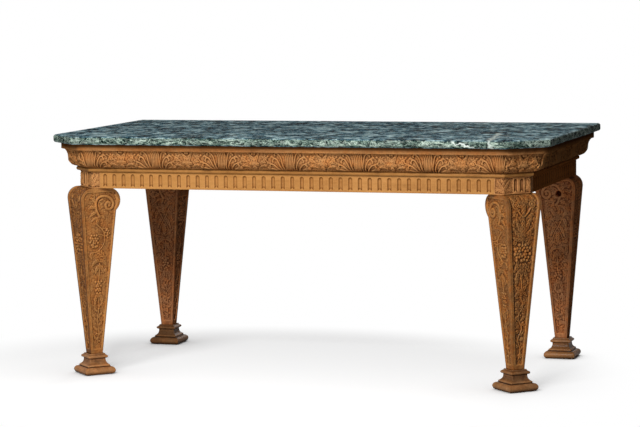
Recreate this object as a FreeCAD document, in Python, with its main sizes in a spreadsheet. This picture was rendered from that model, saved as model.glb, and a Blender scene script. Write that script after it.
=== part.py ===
import FreeCAD, Part
import math
import os
import Sketcher

# Carved side table: a loose marble slab lies on a fluted wooden frame with a deep cyma cornice, and
# four tapered legs with scrolled tops stand on moulded square feet.
# X runs along the front, Y to the back, Z up; the origin is on the floor under the middle of the slab.
SIZES = {
    # Marble slab
    "overall_height": 860.0,
    "marble_length": 1812.0,
    "marble_depth": 954.0,
    "marble_thickness": 28.0,
    "marble_edge_radius": 9.0,
    "marble_corner_radius": 16.0,
    "marble_overhang": 25.0,
    "end_overhang": 15.0,
    "back_overhang": 44.0,
    # Frame faces and mouldings, from the bottom up
    "frame_cant": 75.0,
    "apron_height": 58.0,
    "bead_height": 15.0,
    "bead_projection": 12.0,
    "cyma_height": 65.0,
    "cyma_foot": 12.0,
    "cyma_waist": 45.0,
    "cyma_waist_height": 34.0,
    "fillet_height": 22.0,
    "fillet_quirk": 4.0,
    "cornice_projection": 66.0,
    # Rails, posts and their joints
    "rail_thickness": 32.0,
    "rail_tenon_thickness": 12.0,
    "rail_tenon_length": 24.0,
    "rail_tenon_height": 116.0,
    "post_return": 34.0,
    "post_depth": 62.0,
    "back_post_width": 104.0,
    "joint_clearance": 0.2,
    "mortise_relief": 1.0,
    # Gouged flutes of the apron
    "flute_pitch": 34.9,
    "flute_width": 15.0,
    "flute_depth": 4.5,
    "flute_top_gap": 7.0,
    "flute_sill": 3.0,
    "flute_margin": 8.0,
    "cant_flute_pitch": 25.0,
    "cant_flute_shift": 7.0,
    # Bearers under the slab and glue blocks in the corners
    "bearer_spacing": 430.0,
    "bearer_width": 60.0,
    "bearer_height": 42.0,
    "bearer_housing": 14.0,
    "block_leg": 26.0,
    "block_height": 100.0,
    # Legs
    "leg_bottom_width": 47.5,
    "leg_top_width": 137.0,
    "leg_inner_swell": 9.5,
    "leg_shoulder_radius": 41.0,
    "front_leg_inset": 51.0,
    "back_leg_end_inset": 49.0,
    "back_leg_rear_inset": 25.0,
    "volute_radius": 47.0,
    "volute_offset": 39.0,
    "panel_depth": 4.0,
    "panel_border": 12.0,
    "panel_inner_border": 8.0,
    "leg_tenon_width": 36.0,
    "leg_tenon_height": 66.0,
    "spigot_width": 24.0,
    "spigot_length": 42.0,
    "peg_diameter": 10.0,
    "peg_proud": 3.0,
    "peg_reach": 8.0,
    "open_hole_diameter": 19.0,
    "open_hole_depth": 36.0,
    "open_hole_drop": 63.0,
    # Feet, half widths and heights of the square mouldings
    "foot_height": 79.0,
    "torus_half_width": 58.5,
    "torus_height": 27.0,
    "foot_fillet_half_width": 43.0,
    "foot_fillet_height": 6.0,
    "neck_half_width": 30.5,
    "cavetto_height": 18.0,
    "cavetto_radius": 20.0,
    "neck_height": 6.0,
    "collar_height": 11.0,
    "collar_radius": 6.5,
    "collar_seat": 1.5,
    "foot_top_half_width": 24.5,
    # Cuts run past the solid by this much
    "overrun": 20.0,
}

# Radii of the groove that winds into the volute, at each quarter turn, as shares of the radius
# inside the scroll's outer band.
GROOVE_OUTER_SHARES = (1.0, 0.97, 0.86, 0.68, 0.49)
GROOVE_INNER_SHARES = (0.79, 0.75, 0.64, 0.49, 0.36)

# A flute's section is a shallow curve in flat facets, whose corners stand at these shares of the half
# width; its head runs on past the face by this share of the head's height.
FLUTE_SHARES = (-1, -0.6, -0.2, 0.2, 0.6, 1)
FLUTE_RUN_OUT = 1.4

PEG_SIDES = 8
ROOT_HALF = math.sqrt(0.5)
MITRE_SHARE = math.tan(math.radians(22.5))

# Places worked out from the driving sizes
FRAME_END = "(dims.marble_length / 2 - dims.end_overhang - dims.cornice_projection)"
FRAME_FRONT = "(-dims.marble_depth / 2 + dims.marble_overhang + dims.cornice_projection)"
FRAME_BACK = "(dims.marble_depth / 2 - dims.back_overhang)"
FRAME_TOP = "(dims.overall_height - dims.marble_thickness)"
CYMA_TOP = f"({FRAME_TOP} - dims.fillet_height)"
CYMA_BOTTOM = f"({CYMA_TOP} - dims.cyma_height)"
APRON_TOP = f"({CYMA_BOTTOM} - dims.bead_height)"
FRAME_BOTTOM = f"({APRON_TOP} - dims.apron_height)"
FRAME_HEIGHT = f"({FRAME_TOP} - {FRAME_BOTTOM})"
POST_SIDE = "(dims.frame_cant + dims.post_return)"
FRONT_RAIL_END = f"({FRAME_END} - {POST_SIDE})"
BACK_RAIL_END = f"({FRAME_END} - dims.post_depth)"
END_RAIL_FRONT = f"({FRAME_FRONT} + {POST_SIDE})"
END_RAIL_BACK = f"({FRAME_BACK} - dims.back_post_width)"
FRONT_LEG_X = f"({FRAME_END} - dims.front_leg_inset)"
FRONT_LEG_Y = f"({FRAME_FRONT} + dims.front_leg_inset)"
BACK_LEG_X = f"({FRAME_END} - dims.back_leg_end_inset)"
BACK_LEG_Y = f"({FRAME_BACK} - dims.back_leg_rear_inset)"
BACK_TENON_Y = f"({FRAME_BACK} - dims.back_post_width / 2)"
# Tenon centres, measured outward from the axis of their leg
FRONT_CANT_FACE = "((2 * dims.front_leg_inset - dims.frame_cant) * sqrt(0.5))"
FRONT_INNER_FACE = f"((2 * dims.front_leg_inset - dims.post_depth - {POST_SIDE}) * sqrt(0.5))"
FRONT_TENON = f"(({FRONT_CANT_FACE} + {FRONT_INNER_FACE}) / 2)"
BACK_TENON = "(dims.back_leg_end_inset - dims.post_depth / 2)"
BACK_INNER_FACE = "(dims.back_leg_end_inset - dims.post_depth)"
PEG_LEVEL = f"({FRAME_BOTTOM} + dims.leg_tenon_height / 2)"
VOLUTE_Z = f"({FRAME_BOTTOM} - dims.volute_radius)"
SHOULDER_Z = f"({FRAME_BOTTOM} - dims.leg_shoulder_radius)"
PANEL_BOTTOM = "(dims.foot_height + dims.panel_border)"
FLUTE_HEAD = f"({APRON_TOP} - dims.flute_top_gap - dims.flute_width / 2)"
FLUTE_BOTTOM = f"({FRAME_BOTTOM} + dims.flute_sill)"
TENON_BOTTOM = f"({FRAME_BOTTOM} + ({FRAME_HEIGHT} - dims.rail_tenon_height) / 2)"

doc = FreeCAD.newDocument("carved_side_table")
sheet = doc.addObject("Spreadsheet::Sheet", "dims")
for row, (alias, value) in enumerate(SIZES.items(), start=1):
    sheet.set(f"A{row}", alias)
    sheet.set(f"B{row}", str(value))
    sheet.setAlias(f"B{row}", alias)
doc.recompute()

Vector = FreeCAD.Vector
FLAT = FreeCAD.Rotation()
# Sketch planes: side_plane has outward r along X and height along Z, front_plane has Y and Z.
SIDE_PLANE = FreeCAD.Rotation(Vector(1, 0, 0), Vector(0, 0, 1), Vector(0, -1, 0))
FRONT_PLANE = FreeCAD.Rotation(Vector(0, 1, 0), Vector(0, 0, 1), Vector(1, 0, 0))
ALONG_X = FreeCAD.Rotation(Vector(0, 1, 0), 90)
ALONG_Y = FreeCAD.Rotation(Vector(1, 0, 0), -90)

nodes = {}


def keep(obj, label):
    """Name a finished sub-part after its node."""
    obj.Label = label
    nodes[label] = obj
    return obj


def number(expression):
    """Present value of an expression of the sheet, used as a first guess for sketch geometry."""
    return float(sheet.evalExpression(expression))


def place(obj, x="0", y="0", z="0", rotation=FLAT):
    """Put an object at a place given by expressions."""
    obj.Placement = FreeCAD.Placement(Vector(), rotation)
    for axis, expression in zip("xyz", (x, y, z)):
        obj.setExpression(f".Placement.Base.{axis}", expression)


def bind(obj, **expressions):
    """Tie properties to expressions of the sheet."""
    for name, expression in expressions.items():
        obj.setExpression(name, expression)


def arc_through(start, end, radius, bulge):
    """Arc between two points; bulge +1 swells to the left of the way from start to end."""
    chord = end - start
    middle = (start + end) * 0.5
    half = chord.Length / 2
    rise = radius - math.sqrt(max(radius ** 2 - half ** 2, 0))
    left = Vector(-chord.y, chord.x, 0) / chord.Length
    return Part.Arc(start, middle + left * (rise * bulge), end)


def draw(sketch, points):
    """Closed outline whose corners are expressions.

    Each point is (x, y), or (x, y, radius, bulge) when an arc leads from it to the next point.
    """
    places = [Vector(number(point[0]), number(point[1]), 0) for point in points]
    ends = []
    for index, point in enumerate(points):
        start, end = places[index], places[(index + 1) % len(points)]
        if len(point) == 2:
            line = sketch.addGeometry(Part.LineSegment(start, end))
            ends.append((line, 1, 2))
            continue
        arc = sketch.addGeometry(arc_through(start, end, number(point[2]), point[3]))
        forward = (sketch.getPoint(arc, 1) - start).Length < (sketch.getPoint(arc, 2) - start).Length
        ends.append((arc, 1, 2) if forward else (arc, 2, 1))
        radius = sketch.addConstraint(Sketcher.Constraint("Radius", arc, number(point[2])))
        sketch.setExpression(f"Constraints[{radius}]", point[2])
    for index, point in enumerate(points):
        edge, first, _ = ends[index]
        before, _, last = ends[index - 1]
        sketch.addConstraint(Sketcher.Constraint("Coincident", before, last, edge, first))
        for kind, expression in (("DistanceX", point[0]), ("DistanceY", point[1])):
            fixed = sketch.addConstraint(Sketcher.Constraint(kind, edge, first, number(expression)))
            sketch.setExpression(f"Constraints[{fixed}]", expression)
    return sketch


def prism(name, plane, points, length, both_ways=True):
    """Outline on a plane, extruded along the plane's normal."""
    sketch = doc.addObject("Sketcher::SketchObject", f"{name}_outline")
    sketch.Placement = FreeCAD.Placement(Vector(), plane)
    draw(sketch, points)
    solid = doc.addObject("Part::Extrusion", name)
    solid.Base = sketch
    solid.DirMode = "Normal"
    solid.Solid = True
    solid.Symmetric = both_ways
    bind(solid, LengthFwd=length)
    return solid


def cylinder(name, radius, height, x="0", y="0", z="0", rotation=FLAT):
    solid = doc.addObject("Part::Cylinder", name)
    bind(solid, Radius=radius, Height=height)
    place(solid, x, y, z, rotation)
    return solid


def peg(name, diameter, height, x="0", y="0", z="0", rotation=FLAT):
    """Riven peg, or the core of its hole."""
    solid = doc.addObject("Part::Prism", name)
    solid.Polygon = PEG_SIDES
    bind(solid, Circumradius=f"{diameter} / 2", Height=height)
    place(solid, x, y, z, rotation)
    return solid


def box(name, corner, spans):
    solid = doc.addObject("Part::Box", name)
    bind(solid, Length=spans[0], Width=spans[1], Height=spans[2])
    place(solid, *corner)
    return solid


def cut(name, base, tool):
    solid = doc.addObject("Part::Cut", name)
    solid.Base = base
    solid.Tool = tool
    return solid


def common(name, first, second):
    solid = doc.addObject("Part::Common", name)
    solid.Base = first
    solid.Tool = second
    return solid


def fuse(name, *shapes):
    solid = doc.addObject("Part::MultiFuse", name)
    solid.Shapes = list(shapes)
    return solid


def group(name, *shapes):
    compound = doc.addObject("Part::Compound", name)
    compound.Links = list(shapes)
    return compound


def mirror(name, source):
    """The left-hand twin of a right-hand piece."""
    twin = doc.addObject("Part::Mirroring", name)
    twin.Source = source
    twin.Normal = (1, 0, 0)
    return twin


def body_box(body, kind, name, corner, spans, turn=FLAT):
    """Additive or subtractive box of a body."""
    feature = body.newObject(f"PartDesign::{kind}Box", name)
    bind(feature, Length=spans[0], Width=spans[1], Height=spans[2])
    place(feature, *corner, turn)
    return feature


def peg_hole(body, name, depth, start, rotation):
    """Hole of a body for a riven peg, cut from a point along the turned Z axis."""
    hole = body.newObject("PartDesign::SubtractivePrism", name)
    hole.Polygon = PEG_SIDES
    bind(hole, Circumradius=f"{grown('dims.peg_diameter')} / 2", Height=depth)
    place(hole, *start, rotation)
    return hole


def axis_of(body, role):
    return next(item for item in body.Origin.OriginFeatures if item.Role == role)


def pattern(body, originals, role, count, pitch):
    """Row of features along one axis of the body."""
    row_of = body.newObject("PartDesign::LinearPattern", f"{body.Name}_row")
    row_of.Originals = originals
    row_of.Direction = (axis_of(body, role), [""])
    bind(row_of, Occurrences=count, Length=f"({count} - 1) * {pitch}")
    body.Tip = row_of
    return row_of


def pad_outline(body, points, height, base):
    """Plan outline of a body on its XY plane, raised to a level and padded upward."""
    sketch = body.newObject("Sketcher::SketchObject", f"{body.Name}_plan")
    sketch.AttachmentSupport = (axis_of(body, "XY_Plane"), [""])
    sketch.MapMode = "FlatFace"
    sketch.setExpression(".AttachmentOffset.Base.z", base)
    draw(sketch, points)
    pad = body.newObject("PartDesign::Pad", f"{body.Name}_pad")
    pad.Profile = sketch
    bind(pad, Length=height)
    doc.recompute()
    return pad


def round_edges(body, base, name, radius, chosen):
    """Fillet the edges of the last feature for which chosen(edge) holds."""
    names = [f"Edge{i}" for i, edge in enumerate(base.Shape.Edges, start=1) if chosen(edge)]
    fillet = body.newObject("PartDesign::Fillet", name)
    fillet.Base = (base, names)
    bind(fillet, Radius=radius)
    doc.recompute()
    return fillet


def grown(size):
    """Opening that takes a tenon or pin of this size with the joint's clearance on both sides."""
    return f"({size} + 2 * dims.joint_clearance)"


def marble_top():
    """Slab with canted front corners, square back corners and a rounded moulded edge."""
    body = doc.addObject("PartDesign::Body", "marble_body")
    end, front, back = "dims.marble_length / 2", "-dims.marble_depth / 2", "dims.marble_depth / 2"
    front_reach = "(dims.marble_overhang + dims.cornice_projection)"
    end_reach = "(dims.end_overhang + dims.cornice_projection)"
    cant = f"(dims.frame_cant + {end_reach} + (1 - sqrt(2)) * {front_reach})"
    points = [
        (f"-{end}", back),
        (f"-{end}", f"{front} + {cant}"),
        (f"-{end} + {cant}", front),
        (f"{end} - {cant}", front),
        (end, f"{front} + {cant}"),
        (end, back),
    ]
    pad = pad_outline(body, points, "dims.marble_thickness", FRAME_TOP)
    rear = number(back)

    def is_cant_corner(edge):
        return abs(edge.tangentAt(edge.FirstParameter).z) > ROOT_HALF and edge.CenterOfMass.y < 0

    def is_shown_edge(edge):
        level = edge.BoundBox.ZLength < edge.Length / 2
        return level and edge.CenterOfMass.y < rear * (1 - 1e-6)

    corners = round_edges(body, pad, "marble_corners", "dims.marble_corner_radius", is_cant_corner)
    round_edges(body, corners, "marble_edges", "dims.marble_edge_radius", is_shown_edge)
    keep(body, "marble_top")


def tenon(body, name, corner):
    """Stub tenon in the middle of a rail's end, for a rail that runs along X or Y."""
    along_x = corner[2] == "X"
    spans = ["dims.rail_tenon_length", "dims.rail_tenon_thickness", "dims.rail_tenon_height"]
    if not along_x:
        spans[0], spans[1] = spans[1], spans[0]
    body_box(body, "Additive", name, (corner[0], corner[1], TENON_BOTTOM), spans)


def mortise(body, name, corner):
    """Slot that takes a rail's tenon, open towards the rail, with clearance all round."""
    along_x = corner[2] == "X"
    sideways = grown("dims.rail_tenon_thickness")
    lengthways = "(dims.rail_tenon_length + dims.mortise_relief)"
    spans = (lengthways, sideways) if along_x else (sideways, lengthways)
    low = (corner[0], corner[1], f"{TENON_BOTTOM} - dims.joint_clearance")
    body_box(body, "Subtractive", name, low, (*spans, grown("dims.rail_tenon_height")))


def flute_section(body, name, spot, level, shift, turn):
    """Hollow section of a flute in plan: x runs along the face and y into the wood."""
    half = "(dims.flute_width / 2)"
    points = []
    for share in FLUTE_SHARES:
        points.append((f"{half} * {share}", f"dims.flute_depth * {1 - share ** 2} - {shift}"))
    points.append((half, "-dims.overrun"))
    points.append((f"-{half}", "-dims.overrun"))
    sketch = body.newObject("Sketcher::SketchObject", name)
    sketch.AttachmentSupport = (axis_of(body, "XY_Plane"), [""])
    sketch.MapMode = "FlatFace"
    sketch.AttachmentOffset = FreeCAD.Placement(Vector(), FreeCAD.Rotation(Vector(0, 0, 1), turn))
    for axis, expression in zip("xyz", (*spot, level)):
        sketch.setExpression(f".AttachmentOffset.Base.{axis}", expression)
    return draw(sketch, points)


def flute(body, spot, turn):
    """Gouged hollow in an upright face: it runs straight up, then out to an arched head."""
    name = f"{body.Name}_flute"
    foot = flute_section(body, f"{name}_foot", spot, FLUTE_BOTTOM, "0", turn)
    head = flute_section(body, f"{name}_head", spot, FLUTE_HEAD, "0", turn)
    # The tip lies clear of the face, so that the head runs out inside the flute's length.
    tip_level = f"{FLUTE_HEAD} + {FLUTE_RUN_OUT} * dims.flute_width / 2"
    tip = flute_section(body, f"{name}_tip", spot, tip_level, f"{FLUTE_RUN_OUT} * dims.flute_depth", turn)
    hollow = body.newObject("PartDesign::SubtractiveLoft", name)
    hollow.Profile = foot
    hollow.Sections = [head, tip]
    hollow.Ruled = True
    doc.recompute()
    return hollow


def flutes(body, face, role, middle, length, turn):
    """Row of flutes in the outer face of a rail, centred along its length."""
    free = f"({length} - 2 * dims.flute_margin - dims.flute_width)"
    count = f"(floor({free} / dims.flute_pitch) + 1)"
    first = f"({middle} - ({count} - 1) * dims.flute_pitch / 2)"
    spot = (first, face) if role == "X_Axis" else (face, first)
    pattern(body, [flute(body, spot, turn)], role, count, "dims.flute_pitch")


def housings(body, rear_face):
    """Three notches in a rail's top edge that take the ends of the bearers."""
    corner = (
        f"-dims.bearer_spacing - {grown('dims.bearer_width')} / 2",
        rear_face,
        f"{FRAME_TOP} - dims.bearer_height",
    )
    reach, drop = ("dims.bearer_housing + dims.overrun", "dims.bearer_height + dims.overrun")
    spans = (grown("dims.bearer_width"), reach, drop)
    notch = body_box(body, "Subtractive", f"{body.Name}_housing", corner, spans)
    doc.recompute()
    row_of = pattern(body, [notch], "X_Axis", "3", "dims.bearer_spacing")
    doc.recompute()
    return row_of


def front_rail():
    body = doc.addObject("PartDesign::Body", "front_rail_body")
    spans = (f"2 * {FRONT_RAIL_END}", "dims.rail_thickness", FRAME_HEIGHT)
    body_box(body, "Additive", "front_rail_board", (f"-{FRONT_RAIL_END}", FRAME_FRONT, FRAME_BOTTOM), spans)
    middle = f"{FRAME_FRONT} + (dims.rail_thickness - dims.rail_tenon_thickness) / 2"
    tenon(body, "front_rail_right_tenon", (FRONT_RAIL_END, middle, "X"))
    tenon(body, "front_rail_left_tenon", (f"-{FRONT_RAIL_END} - dims.rail_tenon_length", middle, "X"))
    housings(body, f"{FRAME_FRONT} + dims.rail_thickness - dims.bearer_housing")
    flutes(body, FRAME_FRONT, "X_Axis", "0", f"2 * {FRONT_RAIL_END}", 0)
    keep(body, "front_rail")


def back_rail():
    body = doc.addObject("PartDesign::Body", "back_rail_body")
    inner = f"({FRAME_BACK} - dims.rail_thickness)"
    spans = (f"2 * {BACK_RAIL_END}", "dims.rail_thickness", FRAME_HEIGHT)
    body_box(body, "Additive", "back_rail_board", (f"-{BACK_RAIL_END}", inner, FRAME_BOTTOM), spans)
    middle = f"{inner} + (dims.rail_thickness - dims.rail_tenon_thickness) / 2"
    tenon(body, "back_rail_right_tenon", (BACK_RAIL_END, middle, "X"))
    tenon(body, "back_rail_left_tenon", (f"-{BACK_RAIL_END} - dims.rail_tenon_length", middle, "X"))
    housings(body, f"{inner} - dims.overrun")
    keep(body, "back_rail")


def end_rails():
    body = doc.addObject("PartDesign::Body", "end_rail_body")
    length = f"({END_RAIL_BACK} - {END_RAIL_FRONT})"
    inner = f"({FRAME_END} - dims.rail_thickness)"
    spans = ("dims.rail_thickness", length, FRAME_HEIGHT)
    body_box(body, "Additive", "end_rail_board", (inner, END_RAIL_FRONT, FRAME_BOTTOM), spans)
    middle = f"{inner} + (dims.rail_thickness - dims.rail_tenon_thickness) / 2"
    tenon(body, "end_rail_front_tenon", (middle, f"{END_RAIL_FRONT} - dims.rail_tenon_length", "Y"))
    tenon(body, "end_rail_back_tenon", (middle, END_RAIL_BACK, "Y"))
    centre = f"({END_RAIL_FRONT} + {END_RAIL_BACK}) / 2"
    flutes(body, FRAME_END, "Y_Axis", centre, length, 90)
    keep(body, "right_end_rail")
    keep(mirror("left_end_rail", body), "left_end_rail")


def front_posts():
    """Canted corner posts: a rail tenon enters each side, the leg's tenon enters from below."""
    body = doc.addObject("PartDesign::Body", "front_post_body")
    points = [
        (FRONT_RAIL_END, FRAME_FRONT),
        (f"{FRAME_END} - dims.frame_cant", FRAME_FRONT),
        (FRAME_END, f"{FRAME_FRONT} + dims.frame_cant"),
        (FRAME_END, END_RAIL_FRONT),
        (f"{FRAME_END} - dims.post_depth", END_RAIL_FRONT),
        (FRONT_RAIL_END, f"{FRAME_FRONT} + dims.post_depth"),
    ]
    pad_outline(body, points, FRAME_HEIGHT, FRAME_BOTTOM)
    edge = f"(dims.rail_thickness - {grown('dims.rail_tenon_thickness')}) / 2"
    mortise(body, "front_post_front_mortise", (FRONT_RAIL_END, f"{FRAME_FRONT} + {edge}", "X"))
    low = f"{END_RAIL_FRONT} - dims.rail_tenon_length - dims.mortise_relief"
    reach = f"{FRAME_END} - dims.rail_thickness + {edge}"
    mortise(body, "front_post_end_mortise", (reach, low, "Y"))
    turn = FreeCAD.Rotation(Vector(0, 0, 1), -45)
    width = grown("dims.leg_tenon_width")
    # The turned mortise starts at its inner left corner, half a width to each side of its centre.
    inward = f"({FRONT_TENON} - {width} / 2)"
    corner = (
        f"{FRONT_LEG_X} + ({inward} - {width} / 2) * sqrt(0.5)",
        f"{FRONT_LEG_Y} - ({inward} + {width} / 2) * sqrt(0.5)",
        f"{FRAME_BOTTOM} - dims.overrun",
    )
    depth = "dims.leg_tenon_height + dims.mortise_relief + dims.overrun"
    body_box(body, "Subtractive", "front_post_leg_mortise", corner, (width, width, depth), turn)
    start = f"({FRONT_INNER_FACE} - dims.overrun)"
    reach = f"{FRONT_TENON} + dims.leg_tenon_width / 2 + dims.peg_reach + dims.mortise_relief - {start}"
    spot = (f"{FRONT_LEG_X} + {start} * sqrt(0.5)", f"{FRONT_LEG_Y} - {start} * sqrt(0.5)", PEG_LEVEL)
    peg_hole(body, "front_post_peg_hole", reach, spot, turn.multiply(ALONG_X))
    # Two flutes side by side on the cant, set towards the end of the table
    for side in (-1, 1):
        along = f"({side} * dims.cant_flute_pitch / 2 + dims.cant_flute_shift)"
        step = f"({along} * sqrt(0.5) + dims.frame_cant / 2)"
        flute(body, (f"{FRAME_END} - dims.frame_cant + {step}", f"{FRAME_FRONT} + {step}"), 45)
    keep(body, "front_right_post")
    keep(mirror("front_left_post", body), "front_left_post")


def back_posts():
    """Square-cornered back posts, as wide as the leg below them."""
    body = doc.addObject("PartDesign::Body", "back_post_body")
    corner = (BACK_RAIL_END, END_RAIL_BACK, FRAME_BOTTOM)
    spans = ("dims.post_depth", f"{FRAME_BACK} - {END_RAIL_BACK}", FRAME_HEIGHT)
    body_box(body, "Additive", "back_post_block", corner, spans)
    edge = f"(dims.rail_thickness - {grown('dims.rail_tenon_thickness')}) / 2"
    rear = f"{FRAME_BACK} - dims.rail_thickness + {edge}"
    mortise(body, "back_post_rear_mortise", (BACK_RAIL_END, rear, "X"))
    outer = f"{FRAME_END} - dims.rail_thickness + {edge}"
    mortise(body, "back_post_end_mortise", (outer, END_RAIL_BACK, "Y"))
    width = grown("dims.leg_tenon_width")
    corner = (
        f"{BACK_LEG_X} + {BACK_TENON} - {width} / 2",
        f"{BACK_TENON_Y} - {width} / 2",
        f"{FRAME_BOTTOM} - dims.overrun",
    )
    depth = "dims.leg_tenon_height + dims.mortise_relief + dims.overrun"
    body_box(body, "Subtractive", "back_post_leg_mortise", corner, (width, width, depth))
    start = f"({BACK_INNER_FACE} - dims.overrun)"
    reach = f"{BACK_TENON} + dims.leg_tenon_width / 2 + dims.peg_reach + dims.mortise_relief - {start}"
    spot = (f"{BACK_LEG_X} + {start}", BACK_TENON_Y, PEG_LEVEL)
    peg_hole(body, "back_post_peg_hole", reach, spot, ALONG_X)
    flutes(body, FRAME_END, "Y_Axis", BACK_TENON_Y, "dims.back_post_width", 90)
    keep(body, "back_right_post")
    keep(mirror("back_left_post", body), "back_left_post")


def bearers():
    """Three cross-bearers that carry the slab, housed in the front and back rails."""
    start = f"{FRAME_FRONT} + dims.rail_thickness - dims.bearer_housing + dims.joint_clearance"
    stop = f"{FRAME_BACK} - dims.rail_thickness + dims.bearer_housing - dims.joint_clearance"
    spans = ("dims.bearer_width", f"{stop} - ({start})", "dims.bearer_height")
    for step, label in ((-1, "left_bearer"), (0, "middle_bearer"), (1, "right_bearer")):
        low = f"{step} * dims.bearer_spacing - dims.bearer_width / 2"
        keep(box(label, (low, start, f"{FRAME_TOP} - dims.bearer_height"), spans), label)


def glue_blocks():
    """Triangular blocks rubbed into the inner angles between rails and posts, just above the pegs."""
    inner_end = f"({FRAME_END} - dims.rail_thickness)"
    corners = (
        (FRONT_RAIL_END, f"({FRAME_FRONT} + dims.rail_thickness)", -1, 1),
        (inner_end, END_RAIL_FRONT, -1, 1),
        (inner_end, END_RAIL_BACK, -1, -1),
        (BACK_RAIL_END, f"({FRAME_BACK} - dims.rail_thickness)", -1, -1),
    )
    right = []
    for index, (x, y, x_way, y_way) in enumerate(corners):
        points = [(x, y), (f"{x} + {x_way} * dims.block_leg", y), (x, f"{y} + {y_way} * dims.block_leg")]
        block = prism(f"glue_block_{index}", FLAT, points, "dims.block_height", both_ways=False)
        place(block, z=f"{PEG_LEVEL} + dims.peg_diameter")
        right.append(block)
    right_side = group("right_glue_blocks", *right)
    keep(group("glue_blocks", right_side, mirror("left_glue_blocks", right_side)), "glue_blocks")


def leg_pegs():
    """Riven pegs that lock the leg tenons, driven in from inside the frame."""
    turn = FreeCAD.Rotation(Vector(0, 0, 1), -45)
    start = f"({FRONT_INNER_FACE} - dims.peg_proud)"
    length = f"{FRONT_TENON} + dims.leg_tenon_width / 2 + dims.peg_reach - {start}"
    spot = (f"{FRONT_LEG_X} + {start} * sqrt(0.5)", f"{FRONT_LEG_Y} - {start} * sqrt(0.5)", PEG_LEVEL)
    front = peg("front_peg", "dims.peg_diameter", length, *spot, turn.multiply(ALONG_X))
    start = f"({BACK_INNER_FACE} - dims.peg_proud)"
    length = f"{BACK_TENON} + dims.leg_tenon_width / 2 + dims.peg_reach - {start}"
    spot = (f"{BACK_LEG_X} + {start}", BACK_TENON_Y, PEG_LEVEL)
    back = peg("back_peg", "dims.peg_diameter", length, *spot, ALONG_X)
    right_side = group("right_pegs", front, back)
    keep(group("leg_pegs", right_side, mirror("left_pegs", right_side)), "leg_pegs")


def cornice_outline():
    """Section of the cornice: plain fillet over a cyma that swells below and hollows above."""
    waist = f"({CYMA_BOTTOM} + dims.cyma_waist_height)"
    lip = "(dims.cornice_projection - dims.fillet_quirk)"
    swell = "(dims.cyma_waist - dims.cyma_foot)"
    hollow = f"({lip} - dims.cyma_waist)"
    hollow_height = "(dims.cyma_height - dims.cyma_waist_height)"
    swell_radius = f"({swell} ^ 2 + dims.cyma_waist_height ^ 2) / (2 * {swell})"
    hollow_radius = f"({hollow} ^ 2 + {hollow_height} ^ 2) / (2 * {hollow})"
    return [
        ("0", CYMA_BOTTOM),
        ("dims.cyma_foot", CYMA_BOTTOM, swell_radius, -1),
        ("dims.cyma_waist", waist, hollow_radius, 1),
        (lip, CYMA_TOP),
        ("dims.cornice_projection", CYMA_TOP),
        ("dims.cornice_projection", FRAME_TOP),
        ("0", FRAME_TOP),
    ]


def bead_outline():
    """Section of the half-round bead between cornice and apron."""
    radius = "(dims.bead_height / 2)"
    flat = f"(dims.bead_projection - {radius})"
    return [
        ("0", APRON_TOP),
        (flat, APRON_TOP, radius, -1),
        ("dims.bead_projection", f"{APRON_TOP} + {radius}", radius, -1),
        (flat, CYMA_BOTTOM),
        ("0", CYMA_BOTTOM),
    ]


def moulding(name, outline, length, spot, angle, near_mitre=MITRE_SHARE, far_mitre=MITRE_SHARE):
    """Length of moulding whose back lies on the frame, mitred where it meets its neighbours."""
    depth = "(dims.cornice_projection + dims.overrun)"
    full = f"{length} + 2 * {depth}"
    run = prism(f"{name}_run", SIDE_PLANE, outline(), full)
    plan = [
        ("0", f"-{length} / 2"),
        (depth, f"-{length} / 2 - {near_mitre} * {depth}"),
        (depth, f"{length} / 2 + {far_mitre} * {depth}"),
        ("0", f"{length} / 2"),
    ]
    mitres = prism(f"{name}_mitres", FLAT, plan, "dims.overall_height", both_ways=False)
    piece = common(name, run, mitres)
    place(piece, *spot, "0", FreeCAD.Rotation(Vector(0, 0, 1), angle))
    return piece


def mouldings(kind, outline):
    """A moulding round the front, both cants and both ends; the ends run square to the back."""
    front_length = f"(2 * ({FRAME_END} - dims.frame_cant))"
    keep(moulding(f"front_{kind}", outline, front_length, ("0", FRAME_FRONT), -90), f"front_{kind}")
    cant_spot = (f"{FRAME_END} - dims.frame_cant / 2", f"{FRAME_FRONT} + dims.frame_cant / 2")
    cant_length = "(dims.frame_cant * sqrt(2))"
    cant = moulding(f"cant_{kind}", outline, cant_length, cant_spot, -45)
    end_start = f"({FRAME_FRONT} + dims.frame_cant)"
    end_spot = (FRAME_END, f"({end_start} + {FRAME_BACK}) / 2")
    end_length = f"({FRAME_BACK} - {end_start})"
    end = moulding(f"end_{kind}", outline, end_length, end_spot, 0, far_mitre=0)
    for piece, part in ((cant, "cant"), (end, "end")):
        keep(piece, f"right_{part}_{kind}")
        keep(mirror(f"left_{part}_{kind}", piece), f"left_{part}_{kind}")


def leg_share(level):
    """How far up the leg a level is, as a share of its height."""
    return f"((({level}) - dims.foot_height) / ({FRAME_BOTTOM} - dims.foot_height))"


def leg_half(level, inset="0"):
    """Half the width of the tapered leg at a level, less an inset."""
    spread = "(dims.leg_top_width - dims.leg_bottom_width)"
    return f"((dims.leg_bottom_width + {spread} * {leg_share(level)}) / 2 - {inset})"


def leg_inner(level, inset="0"):
    """Reach of the leg towards its inner face, which leans out further than the other three."""
    return f"({leg_half(level, inset)} + dims.leg_inner_swell * {leg_share(level)})"


def taper(name, inset, bottom, top, length, both_ways=True):
    """Tapered slab seen from outside the leg: width runs along Y, height along Z."""
    points = [
        (f"-{leg_half(bottom, inset)}", bottom),
        (leg_half(bottom, inset), bottom),
        (leg_half(top, inset), top),
        (f"-{leg_half(top, inset)}", top),
    ]
    return prism(name, FRONT_PLANE, points, length, both_ways)


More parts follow.
